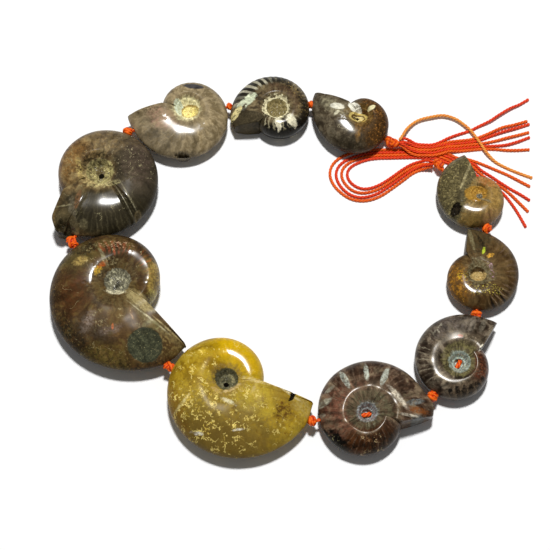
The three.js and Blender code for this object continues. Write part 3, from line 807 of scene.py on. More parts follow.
# %% Patch
PATCH, n, given, end = group("Patch", "Mask", Place=None, X=0.0, Y=0.0, Long=1.0, Wide=1.0, Turn=0.0,
                             Ragged=0.3, Detail=1.5, Edge=0.25)
middle_of = n.add("ShaderNodeCombineXYZ", given["X"], given["Y"], 0.0).outputs[0]
turned = n.add("ShaderNodeCombineXYZ", 0.0, 0.0, given["Turn"]).outputs[0]
sizes = n.add("ShaderNodeCombineXYZ", given["Long"], given["Wide"], 1000.0).outputs[0]
inside = n.add("ShaderNodeMapping", given["Place"], middle_of, turned, sizes, vector_type="TEXTURE")
away = n.add("ShaderNodeVectorMath", inside.outputs[0], operation="LENGTH").outputs[1]
push = n.wobble(given["Place"], given["Detail"], 3.0, 0.6)
away = n.math("MULTIPLY_ADD", push, n.times(given["Ragged"], 4.0), away)
end(n.between(away, n.math("ADD", 1.0, given["Edge"]), n.math("SUBTRACT", 1.0, given["Edge"])))

# %% [markdown]
# The ribs of an ammonite cross each whorl at even steps along the coil. The stone carries two numbers for
# that: the turns back from the lip, and the share of the way from the umbilicus to the rim. A rib is a band
# of the first number, bent forwards towards the rim and made uneven by noise, and each rib has a strength
# of its own.

# %% Ribs
RIBS, n, given, end = group("Ribs", "Mask", Place=None, Count=34.0, Sweep=0.8, Width=0.5, Ragged=0.25,
                            First=0.3, Last=1.0)
back, share = n.mark("back"), n.mark("share")
bent = n.math("MULTIPLY_ADD", n.math("POWER", n.math("MAXIMUM", share, 0.0), 2.0), given["Sweep"],
              n.times(back, given["Count"]))
ragged = n.times(given["Ragged"], 4.0)
unevenly = n.math("MULTIPLY_ADD", n.noise(given["Place"], 2.6, 3.0), ragged, bent)
band = n.math("PINGPONG", unevenly, 0.5)
rib = n.between(band, n.times(given["Width"], 0.5), n.times(given["Width"], 0.25))
begins = n.between(share, given["First"], n.math("ADD", given["First"], 0.18))
stops_at = n.between(share, n.math("ADD", given["Last"], 0.06), n.math("SUBTRACT", given["Last"], 0.06))
own = n.add("ShaderNodeTexWhiteNoise", None, n.math("ROUND", unevenly), noise_dimensions="1D").outputs[0]
rib = n.times(rib, n.blend(own, 0.25, 1.0))
end(n.times(rib, n.times(begins, stops_at)))

# %% [markdown]
# Where the outer shell is polished away the sutures show: the frilled seams of the chamber walls. Polishing
# cuts them into scattered hooks and commas. Lines that run on across the stone would look like a maze, so
# each curl stands alone: space is parted into cells, each cell holds a ring round its own middle, and only
# the part of the ring that lies on one random side of the middle is kept. Noise bends the cells before they
# are drawn.

# %% Curls
FULL_TURN = 6.2832
CURLS, n, given, end = group("Curls", "Mask", Place=None, Size=2.6, Width=0.4, Kept=0.7)
noise = n.add("ShaderNodeTexNoise", given["Place"], None, n.math("DIVIDE", 1.6, given["Size"]), 3.0, 0.6)
bend = n.vector("SUBTRACT", noise.outputs[1], (0.5, 0.5, 0.5))
wavy = n.vector("ADD", given["Place"], n.scaled(bend, n.times(given["Size"], 1.9)))
cells = n.add("ShaderNodeTexVoronoi", wavy, None, n.pace(given["Size"]))
chance = n.add("ShaderNodeSeparateColor", cells.outputs["Color"]).outputs
off = n.vector("NORMALIZE", n.vector("SUBTRACT", wavy, cells.outputs["Position"]))
around = n.times(chance[0], FULL_TURN)
facing = n.add("ShaderNodeCombineXYZ", n.math("COSINE", around), n.math("SINE", around), 0.0).outputs[0]
side = n.add("ShaderNodeVectorMath", off, facing, operation="DOT_PRODUCT").outputs[1]
from_ring = n.math("ABSOLUTE", n.math("SUBTRACT", cells.outputs["Distance"], n.blend(chance[1], 0.16, 0.34)))
from_ring = n.times(from_ring, given["Size"])
arc = n.between(from_ring, n.times(given["Width"], 0.62), n.times(given["Width"], 0.3))
kept = n.math("LESS_THAN", chance[2], given["Kept"])
end(n.times(n.times(arc, n.between(side, -0.25, 0.1)), kept))

# %% [markdown]
# The colour of the bare stone is marbled: noise of many sizes, itself pushed about by slower noise so that
# its lumps become veins. Across that run streaks in the direction of the ribs, where the shell grew darker
# and lighter bands. They are noise too, but laid out by the turns back from the lip and the share towards
# the rim.

# %% Marbling and streaks
MARBLE, n, given, end = group("Marble", "Value", Place=None, Size=3.0)
noise = n.add("ShaderNodeTexNoise", given["Place"], None, n.math("DIVIDE", 0.6, given["Size"]), 2.0)
push = n.vector("SUBTRACT", noise.outputs[1], (0.5, 0.5, 0.5))
pushed = n.vector("ADD", given["Place"], n.scaled(push, n.times(given["Size"], 2.6)))
end(n.noise(pushed, given["Size"], 6.0, 0.56))

STREAKS, n, given, end = group("Streaks", "Value", Place=None, Count=60.0)
back, share = n.mark("back"), n.mark("share")
bent = n.math("MULTIPLY_ADD", n.math("POWER", n.math("MAXIMUM", share, 0.0), 2.0), 0.8,
              n.times(back, given["Count"]))
bent = n.math("MULTIPLY_ADD", n.noise(given["Place"], 3.0, 2.0), 2.5, bent)
laid = n.add("ShaderNodeCombineXYZ", bent, n.times(share, 3.5), given["Count"]).outputs[0]
end(n.noise(laid, 1.3, 3.0, 0.6))

# %% [markdown]
# Fine cracks run through most fossils and are filled with pale or dark calcite. The borders between cells
# make such a net; noise bends it and leaves out most of it, so that single broken lines are left.

# %% Cracks
CRACKS, n, given, end = group("Cracks", "Mask", Place=None, Size=8.0, Width=0.12, Kept=0.5)
bend = n.add("ShaderNodeTexNoise", given["Place"], None, 0.35, 4.0, 0.6).outputs[1]
wavy = n.vector("ADD", given["Place"], n.scaled(bend, 5.0))
edges = n.add("ShaderNodeTexVoronoi", wavy, None, n.pace(given["Size"]), feature="DISTANCE_TO_EDGE")
away = n.times(edges.outputs["Distance"], given["Size"])
line = n.between(away, given["Width"], n.times(given["Width"], 0.35))
kept = n.math("SUBTRACT", 0.62, n.times(given["Kept"], 0.24))
end(n.times(line, n.between(n.noise(given["Place"], 3.5, 2.0), kept, n.math("ADD", kept, 0.05))))

# %% [markdown]
# Stone and calcite are granular. Cells that each take one random value give flat facets and separate
# grains; a picture of sand would repeat and would not follow the size of the part. Flecks are not grains
# but specks of every shape and size, so they are what is left when rough noise is cut off at a height.

# %% Grains and flecks
GRAINS, n, given, end = group("Grains", "Value", Place=None, Size=0.5)
shift = n.times(n.noise(given["Place"], 0.9, 2.0), 0.6)
wavy = n.vector("ADD", given["Place"], shift)
cells = n.add("ShaderNodeTexVoronoi", wavy, None, n.pace(given["Size"]))
end(n.add("ShaderNodeSeparateColor", cells.outputs["Color"]).outputs[0])

FLECKS, n, given, end = group("Flecks", "Mask", Place=None, Size=0.8, Kept=0.3)
least = n.math("SUBTRACT", 0.64, n.times(given["Kept"], 0.28))
spots = n.noise(given["Place"], given["Size"], 4.0, 0.68)
end(n.between(spots, least, n.math("ADD", least, 0.035)))

# %% [markdown]
# The inner whorls lie in a hollow, and they often keep the mother of pearl that the flanks have lost. Rings
# round the pole pick them out. A ring is a range of the share mark, which is -1 at the pole, 0 at the edge
# of the hollow and 1 at the rim, again with an uneven edge.

# %% Rings
RING, n, given, end = group("Ring", "Mask", Place=None, Inner=-1.5, Outer=0.0, Soft=0.1, Ragged=0.15)
push = n.wobble(given["Place"], 1.3, 3.0, 0.6)
place = n.math("MULTIPLY_ADD", push, n.times(given["Ragged"], 4.0), n.mark("share"))
end(n.within(place, given["Inner"], given["Outer"], given["Soft"]))

# %% [markdown]
# Where a stone was cut across, its side wall shows. The wall is the only place whose face mark is 0.

# %% Walls
WALL, n, given, end = group("Wall", "Mask", Place=None)
facing = n.math("ABSOLUTE", n.mark("face"))
end(n.times(n.between(facing, 0.7, 0.3), n.between(n.noise(given["Place"], 1.0), 0.40, 0.48)))

# %% [markdown]
# Some things lie between two bearings on the coil, such as the part of a crest that was polished less. A
# sector is a range of degrees back from the lip, and noise moves its ends.

# %% Sectors
SECTOR, n, given, end = group("Sector", "Mask", Place=None, From=0.0, To=90.0, Soft=8.0)
back = n.times(n.mark("back"), 360.0)
back = n.math("MULTIPLY_ADD", n.wobble(given["Place"], 1.6, 3.0), 70.0, back)
end(n.within(back, given["From"], given["To"], given["Soft"]))


# %% [markdown]
# A finish is a base colour with layers over it, as the real stone is a base mineral with others grown into
# it. Each layer has a colour, and masks that say where it lies; two masks multiply. A layer may also change
# the gloss: chalky matrix takes no polish, so it has no clear coat and a rough base, and its grains stand
# up a little.

# %% Layers of a finish


def patch(x, y, long, wide=None, turn=0, ragged=0.12, detail=1.5, edge=0.25):
    """A ragged ellipse, in millimetres from the pole, its long side turned some degrees from the x axis."""
    return PATCH, dict(X=x, Y=y, Long=long, Wide=wide or long, Turn=np.radians(turn), Ragged=ragged,
                       Detail=detail, Edge=edge)


def ribs(count=34, sweep=0.8, width=0.5, ragged=0.2, first=0.3, last=1.0):
    return RIBS, dict(Count=count, Sweep=sweep, Width=width, Ragged=ragged, First=first, Last=last)


def curls(size=2.6, width=0.4, kept=0.7):
    return CURLS, dict(Size=size, Width=width, Kept=kept)


def cracks(size=8.0, width=0.12, kept=0.5):
    return CRACKS, dict(Size=size, Width=width, Kept=kept)


def flecks(size=0.8, kept=0.3):
    return FLECKS, dict(Size=size, Kept=kept)


def grains(size=0.5):
    return GRAINS, dict(Size=size)


def ring(inner=-1.5, outer=0.0, soft=0.1, ragged=0.1):
    return RING, dict(Inner=inner, Outer=outer, Soft=soft, Ragged=ragged)


def sector(start, stop, soft=6):
    return SECTOR, dict(From=start, To=stop, Soft=soft)


def wall():
    return WALL, {}


def layer(colour, *masks, strength=1.0, rough=None, coat=None, height=0.0):
    """A colour laid over the ones before it where all its masks are full; None keeps the colour. rough and
    coat are its gloss, height how far it stands up in millimetres. Under full strength it is patchy."""
    shown = None if colour is None else shade(*colour)
    return SimpleNamespace(
        colour=shown, masks=masks, strength=strength, rough=rough, coat=coat, height=height)


def crest_band():
    """The flank from just inside the edge of the umbilicus nearly to the rim."""
    return ring(-0.1, 0.85, 0.06, 0.05)


def dull(start, stop, coat=0.03):
    """Part of the crest, from start to stop degrees back, that the polishing wheel missed: no clear gloss."""
    return layer(None, crest_band(), sector(start, stop), coat=coat)


def glossy(start, stop):
    """The two layers that leave the crest's clear gloss only from start to stop degrees back."""
    return dull(-20, start), dull(stop, 380)


# %% [markdown]
# Under the layers lies the marbled base colour, and streaks and fine specks make everything lighter and
# darker. The gloss of every stone is that of hand-polished calcite, a rough dark base under a thin clear
# coat, which is duller towards the rim and in the hollow, where the wheel can't reach. The bump holds the
# low waves that polishing leaves, clusters of small pits that glint, and the height of the layers. Chips
# and pits show bare stone.

# %% One stone's finish
FINISHES = {}
COAT_ROUGHNESS = 0.17
COAT_IOR = 1.42
RIM_POLISH = 0.14
HOLLOW_POLISH = 0.22
HOLLOW_ROUGH = 0.55
POLISH_WAVES = 0.035
PITTING = 0.05
MARBLE_RANGE = (0.41, 0.59)
SEED_SHIFT = (37.0, 11.0, 5.0)
NOISE_SWING = 5
DARKEST_STREAK = 0.3
DARKEST_SPECK = 0.25
CHIP = (52, 44, 32)
CHIP_SHADOW = 0.45
CHIP_GRAIN = 0.4
CHIP_ROUGH = 0.75
CHIP_POLISH = 0.15
RUBBLE = 0.12
RUBBLE_SIZE = 0.35
GLOW_COLOURS = (1.0, 0.6, 0.2)
GLOW_DEPTH = 0.004
SHEEN_TINT = (1.0, 0.80, 0.46, 1.0)


def coat_and_bump(n, seeded):
    """The share of clear coat and the height of the bump in millimetres, before any layer is laid."""
    hollow = n.between(n.mark("share"), 0.06, -0.14)
    coat = n.blend(n.between(n.mark("share"), 0.5, 0.9), 1.0, RIM_POLISH)
    coat = n.blend(hollow, coat, HOLLOW_POLISH)
    height = n.times(n.noise(seeded, 3.2, 1.0), POLISH_WAVES)
    pits = n.times(n.noise(seeded, 0.5, 3.0), n.between(n.noise(seeded, 3.6, 2.0), 0.62, 0.46))
    return hollow, coat, n.math("MULTIPLY_ADD", pits, PITTING, height)


def varied(n, noise, contrast):
    """A brightness about 1. Noise keeps near its middle, so the contrast is swung several times as wide."""
    return n.blend(noise, 1 - NOISE_SWING * contrast, 1 + NOISE_SWING * contrast)


def stone_finish(name, tones, layers, size=3.0, streaks=(60, 0.22), specks=0.13, rough=0.42, satin=0.06,
                 glow=0.0, chip=CHIP):
    """Makes the material of one stone and keeps it in FINISHES. tones are the colours that the marbling
    runs through, from dark to light, and size is the width of its veins in millimetres. streaks are the
    number in a turn and their contrast, specks the contrast of the fine specks, satin the soft sheen under
    the coat, glow the light scattered inside and chip the colour of the bare stone in its dents."""
    material = bpy.data.materials.new(name + "_finish")
    material.use_nodes = True
    n = Nodes(material.node_tree)
    shader = material.node_tree.nodes["Principled BSDF"]
    seed = int(name[-2:])
    object_place = n.add("ShaderNodeTexCoord").outputs["Object"]
    frame_of = [(*STONES[name].pole, 0.0), (0, 0, 0), (0.001,) * 3]
    place = n.add("ShaderNodeMapping", object_place, *frame_of, vector_type="TEXTURE").outputs[0]
    seeded = n.vector("ADD", place, tuple(step * seed for step in SEED_SHIFT))
    places = np.linspace(*MARBLE_RANGE, len(tones)).tolist()
    stops = [(at, shade(*tone)) for at, tone in zip(places, tones)]
    colour = n.ramp(n.use(MARBLE, Place=seeded, Size=size), stops)
    patchy = n.blend(n.between(n.noise(seeded, 1.1, 5.0, 0.7), 0.44, 0.54), 0.35, 1.0)
    hollow, coat, height = coat_and_bump(n, seeded)
    roughness = n.blend(hollow, rough, HOLLOW_ROUGH)
    for part in layers:
        mask = n.times(patchy, part.strength) if part.strength < 1 else part.strength
        for kind, values in part.masks:
            mask = n.times(mask, n.use(kind, Place=place if kind is PATCH else seeded, **values))
        if part.colour is not None:
            colour = n.mix(mask, colour, part.colour)
        if part.rough is not None:
            roughness = n.blend(mask, roughness, part.rough)
        if part.coat is not None:
            coat = n.blend(mask, coat, part.coat)
        if part.height:
            height = n.math("MULTIPLY_ADD", mask, part.height, height)
    streak = varied(n, n.use(STREAKS, Place=seeded, Count=streaks[0]), streaks[1])
    speck = varied(n, n.noise(seeded, 0.6, 4.0, 0.7), specks)
    lighter = n.times(n.math("MAXIMUM", streak, DARKEST_STREAK), n.math("MAXIMUM", speck, DARKEST_SPECK))
    colour = n.scaled(colour, lighter)
    dent = n.mark("dent")
    shadow = shade(*(CHIP_SHADOW * np.array(chip)))
    bare = n.mix(n.use(GRAINS, Place=place, Size=CHIP_GRAIN), shade(*chip), shadow)
    colour = n.mix(dent, colour, bare)
    rubble = n.times(n.use(GRAINS, Place=place, Size=RUBBLE_SIZE), dent)
    height = n.math("MULTIPLY_ADD", rubble, RUBBLE, height)
    bump = n.add("ShaderNodeBump", 1.0, 0.001)
    n.fill(bump.inputs["Height"], height)
    n.fill(shader.inputs["Base Color"], colour)
    n.fill(shader.inputs["Roughness"], n.blend(dent, roughness, CHIP_ROUGH))
    n.fill(shader.inputs["Coat Weight"], n.blend(dent, coat, CHIP_POLISH))
    n.fill(shader.inputs["Normal"], bump.outputs[0])
    # The soft sheen is tinted gold, for it comes back from inside the stone.
    shader.inputs["Specular IOR Level"].default_value = satin
    shader.inputs["Specular Tint"].default_value = SHEEN_TINT
    shader.inputs["Coat Roughness"].default_value = COAT_ROUGHNESS
    shader.inputs["Coat IOR"].default_value = COAT_IOR
    shader.inputs["Subsurface Weight"].default_value = glow
    shader.inputs["Subsurface Radius"].default_value = GLOW_COLOURS
    shader.inputs["Subsurface Scale"].default_value = GLOW_DEPTH
    FINISHES[name] = material
    print("finish of", name, "-", len(layers), "layers,", len(material.node_tree.nodes), "nodes")


def drilled_wall(name):
    """The dull wall of the bore, in the stone's own dark colour."""
    material = bpy.data.materials.new(name + "_bore")
    material.use_nodes = True
    shader = material.node_tree.nodes["Principled BSDF"]
    shader.inputs["Base Color"].default_value = shade(46, 40, 30)
    shader.inputs["Roughness"].default_value = 0.8
    return material


# %% [markdown]
# Now the ten stones one by one, counter-clockwise from the first knot. The first is dark amber on its right
# half and silvery grey-brown on its left. Its umbilicus is a small golden coil round a slot, with patches
# of cream mother of pearl beside it. The near-white patch on its upper left is a painted highlight.

# %% Finish of stone 1
stone_finish("ammonite_01", tones=[(62, 53, 40), (80, 70, 54), (92, 82, 64), (106, 96, 77)], layers=[
    layer((74, 50, 24), patch(7.5, -1.5, 10, 13, ragged=0.15, edge=0.35)),
    layer((52, 28, 8), patch(7, -2, 9, 12, edge=0.4), ribs(38, 1.0, 0.5, first=0.2), strength=0.7),
    layer((160, 108, 48), patch(8, -1, 9, 12), flecks(0.9), strength=0.8),
    layer((158, 112, 70), patch(5, 4, 6, 6), flecks(0.7, 0.25), strength=0.6),
    layer((176, 168, 136), patch(-11.5, 3.6, 4.2, 2.0, -40, 0.3, 2.0, 0.5), strength=0.75),
    layer((156, 146, 116), patch(-8.6, 1.6, 4.2, 2.2, -30, 0.4, 1.4, 0.4), flecks(1.3, 0.6),
          strength=0.7),
    layer((44, 38, 26), patch(-6.0, -11.5, 8, 4, 20, edge=0.5), strength=0.8),
    layer((196, 186, 150), patch(-6, -3, 9, 11), cracks(8, 0.1), strength=0.7),
    layer((126, 92, 44), patch(-1.6, -6.6, 1.2, 4.0, 0, 0.2), strength=0.8),
    layer((150, 120, 66), ring(-0.15, 0.16), strength=0.6),
    # Painted highlight: the near-white patch on the upper left and its fainter end below it.
    layer((244, 240, 218), patch(-9.2, 3.0, 2.7, 1.2, -12, 0.12, edge=0.15), rough=0.25),
    layer((206, 200, 170), patch(-9.4, 0.4, 1.4, 0.6, 40, 0.2, edge=0.2)),
    layer((250, 246, 226), patch(-2.4, 2.6, 2.9, 1.6, -28, 0.16, 0.9, 0.12), rough=0.3),
    layer((240, 230, 180), patch(3.8, 2.6, 1.6, 0.8, 30, 0.12, 0.9, 0.15)),
    layer((214, 190, 112), patch(-1.2, -0.6, 3.6, 2.2, 5, 0.05, edge=0.08)),
    layer((96, 70, 32), patch(-1.2, -0.6, 2.7, 1.45, 5, 0.05, edge=0.1)),
    layer((226, 206, 140), patch(-1.0, -0.7, 2.1, 1.0, 5, 0.08, edge=0.12)),
    layer((34, 26, 16), patch(-1.9, -0.9, 1.15, 0.5, 8, 0.05, edge=0.12), coat=0.2),
    *glossy(44, 118),
])

# %% [markdown]
# In the second stone the umbilicus was eaten away to a ragged pit of olive calcite with a cream,
# crystalline rim. Pale ribs cross a dark rim, and the end of the last whorl was ground to a dull, dark
# face.

# %% Finish of stone 2
stone_finish("ammonite_02", tones=[(58, 48, 34), (88, 74, 52), (104, 90, 64), (126, 112, 82)], layers=[
    layer((40, 37, 30), ring(0.55, 1.3, 0.12), patch(-6, 9, 13, 9, 20, edge=0.4)),
    layer((44, 38, 28), ring(0.62, 1.3, 0.12), patch(4, -6, 16, 11)),
    layer((196, 190, 164), ribs(30, 0.5, 0.6, 0.1, 0.45, 1.4),
          patch(-9.5, 7.5, 8.5, 6.0, 40, edge=0.35)),
    layer((150, 142, 116), ribs(30, 0.5, 0.35, 0.25, 0.6, 1.4), patch(4, 12, 11, 5, -10, edge=0.4),
          strength=0.7),
    layer((176, 150, 92), patch(9, 6, 7, 8), flecks(0.9), strength=0.7),
    layer((86, 66, 48), ring(0.18, 0.5, 0.12), patch(6, 6, 10, 9), strength=0.8),
    layer((24, 24, 21), patch(4.5, -11, 11, 6.0, 8, 0.12, edge=0.3), rough=0.25),
    layer((206, 196, 158), patch(2.5, -7.4, 8.8, 4.2, 2, 0.25), ribs(26, 0.3, 0.45, 0.5, -0.3, 0.8)),
    layer((66, 58, 42), patch(-12.5, -6.6, 8.0, 4.6, 14, 0.05, edge=0.08), rough=0.6, coat=0.2),
    layer((92, 82, 58), patch(-12.5, -6.6, 7.6, 4.2, 14), flecks(0.6, 0.35), strength=0.5),
    layer((206, 212, 180), patch(-11.2, 2.6, 4.4, 2.0, 38, 0.25, 1.2, 0.15), flecks(1.6, 0.85)),
    layer((226, 212, 150), patch(-15.4, -2.0, 3.2, 1.3, 50, 0.25, 1.0, 0.15), flecks(1.3, 0.85)),
    layer((236, 226, 182), ring(-0.1, 0.06, 0.04, 0.13), rough=0.55, height=0.15),
    layer((236, 228, 196), patch(0.5, -6.4, 1.2, 3.0, 10, 0.3, 1.3, 0.15), height=0.12),
    layer((236, 228, 196), patch(5.4, -5.4, 1.6, 2.6, 40, 0.3, 1.3, 0.15), height=0.12),
    layer((150, 136, 92), ring(-2.0, -0.1, 0.05, 0.05), rough=0.5, coat=0.4),
    layer((120, 106, 68), ring(-2.0, -0.3, 0.2, 0.05), strength=0.8),
    layer((176, 162, 112), ring(-2.0, -0.16, 0.05), flecks(1.6, 0.2), strength=0.4),
    dull(-20, 225, coat=0.12),
    dull(290, 380),
], chip=(60, 52, 34))

# %% [markdown]
# The third stone is the palest: olive-tan and grey ribs, and inner whorls that are bright gold with a minty
# crescent of mother of pearl. The dark pit near its lower rim is an air hole in the fossil's filling.

# %% Finish of stone 3
stone_finish(
    "ammonite_03",
    tones=[(124, 108, 78), (138, 122, 91), (148, 131, 99), (160, 142, 108)],
    specks=0.06, streaks=(54, 0.2), satin=0.09, layers=[
    layer((206, 192, 150), patch(-3, -4, 17, 13), cracks(7, 0.09, 0.45), strength=0.6),
    layer((112, 104, 90), patch(-8, -8, 9, 8, edge=0.5), strength=0.6),
    layer((176, 136, 112), patch(-9, -4.5, 6, 4, -30, 0.3, 2.0, 0.4), strength=0.6),
    layer((104, 88, 56), ribs(30, 0.9, 0.5, 0.22, 0.3), patch(6, -9, 13, 11, 0, 0.3), strength=0.55),
    layer((190, 172, 136), ribs(30, 1.2, 0.22, 0.3, 0.25), strength=0.35),
    layer((78, 66, 44), patch(-15, 0.5, 5, 4, 0, 0.3), flecks(0.9, 0.5), strength=0.7),
    layer((70, 64, 56), patch(-1, -19, 9, 2.2, 6, edge=0.5), strength=0.6),
    layer((150, 132, 96), ring(-0.1, 0.22), strength=0.6),
    # Painted reflection: a grey bar above the umbilicus, where the polish mirrors something dark.
    layer((72, 70, 70), patch(2.2, 8.6, 3.8, 1.2, -4, 0.12, edge=0.15)),
    layer((238, 228, 176), ring(-0.55, 0.04, 0.08, 0.08), rough=0.4),
    layer((222, 230, 200), patch(-3.2, 0.3, 1.7, 3.0, 12, 0.15, 1.0, 0.15)),
    layer((176, 150, 84), patch(0.9, -0.6, 3.4, 2.9, 0, 0.1, edge=0.08)),
    layer((250, 234, 150), patch(0.9, -0.8, 2.8, 2.3, 0, 0.22, 0.9, 0.1), rough=0.35),
    layer((186, 150, 70), patch(0.9, -0.8, 2.4, 2.0), flecks(0.9, 0.4), strength=0.7),
    *glossy(24, 120),
])

# %% [markdown]
# The fourth stone runs from orange-brown on the left to a dark purplish grey on the right, with fine bright
# grains. Its umbilicus is a deep pit lined with golden calcite, and the last whorl ends in a broken, dark
# face.

# %% Finish of stone 4
stone_finish(
    "ammonite_04",
    tones=[(84, 66, 42), (112, 92, 58), (132, 108, 70), (150, 130, 88)],
    size=4.0, layers=[
    layer((134, 96, 50), patch(-13, 5, 6, 11, -15, 0.3, 4.0, 0.5), strength=0.7),
    layer((112, 98, 76), patch(6, 13, 12, 7, -30, 0.25, 4.0, 0.5), strength=0.8),
    layer((62, 55, 42), patch(15, -3, 10, 17, 12, 0.2, 4.0, 0.35)),
    layer((46, 41, 27), patch(4, -17, 20, 9, -6, 0.15, 3.0, 0.3)),
    layer((96, 88, 64), patch(2, -17, 16, 8), ribs(70, 0.3, 0.4, 0.3, 0.1), strength=0.45),
    layer((92, 76, 66), patch(14, 4, 5, 10, 0, 0.3, 3.0, 0.5), strength=0.5),
    layer((176, 146, 88), patch(-9, 6, 9, 12), flecks(1.4, 0.2), strength=0.5),
    layer((206, 190, 150), patch(9, 6, 9, 9), flecks(0.8, 0.12), strength=0.6),
    layer((196, 186, 140), patch(5, 0, 22, 26), cracks(10, 0.1, 0.35), strength=0.6),
    # Painted highlights: two pale lines along the ridges beside the growth grooves.
    layer((170, 162, 130), patch(11.5, -11.2, 7.5, 0.26, -60, 0.7, 1.2, 0.5), strength=0.5),
    layer((160, 152, 120), patch(9.4, -12.0, 7.0, 0.22, -60, 0.35, edge=0.5), strength=0.6),
    layer((170, 160, 122), patch(-12.5, -14.6, 3.2, 0.26, 8, 0.9, 1.4, 0.6), strength=0.5),
    layer((120, 82, 52), patch(-7.6, -12.2, 1.0, 3.6, -14, 0.15), strength=0.8),
    layer((128, 118, 96), patch(-9.5, -17, 1.3, 5.5, 4, 0.4, 1.0), strength=0.5),
    layer((136, 126, 92), patch(-5.3, -21, 1.5, 1.8, 0, 0.3, 1.0), strength=0.5),
    layer((148, 130, 92), patch(14.3, -17.1, 1.3, 1.9, -15, 0.1), strength=0.6),
    layer((60, 52, 38), patch(14.3, -17.1, 0.7, 1.2, -15, 0.1), strength=0.8),
    layer((76, 66, 44), patch(-12.2, -21.6, 4.2, 5.2, 10, 0.3), rough=0.75, coat=0.2),
    layer((108, 98, 70), patch(-12.2, -21.6, 4.2, 5.2, 10), flecks(0.9, 0.4), strength=0.6, height=0.2),
    layer((206, 184, 124), ring(-0.14, 0.05, 0.06, 0.12), patch(-3, -3, 6, 6, 0, edge=0.3),
          strength=0.85),
    layer((104, 90, 58), ring(-2.0, -0.1, 0.06), rough=0.65, coat=0.3),
    layer((196, 184, 124), ring(-0.72, -0.08, 0.06, 0.08), grains(0.8), rough=0.45, height=0.18),
    # Darker at the top and left of the hollow: partly its own dark seam, partly painted shade in the crevice.
    layer((44, 38, 24), patch(-1.6, 3.4, 4.0, 1.7, 20, 0.3, 1.2), strength=0.8),
    layer((20, 16, 10), patch(0.4, -1.4, 1.1, 1.0, 30, 0.12, edge=0.15), rough=0.8, coat=0.0),
    # Partly painted shade: the dark band on the top and left of the hollow's edge.
    layer((50, 42, 26), ring(-0.06, 0.14, 0.05, 0.12), patch(-4, 4.6, 6.5, 5, 0, 0.2, edge=0.3),
          strength=0.9),
    layer((228, 216, 152), patch(1.6, -5.6, 5.4, 1.5, 8, 0.35, 1.0, 0.3), grains(0.7), strength=0.95,
          height=0.1),
    layer((206, 184, 110), patch(-7.6, 0.5, 1.2, 4.6, 12, 0.35, 1.0, 0.3), grains(0.7), strength=0.8),
    layer(None, crest_band(), coat=0.55),
    *glossy(4, 96),
], chip=(84, 74, 50))
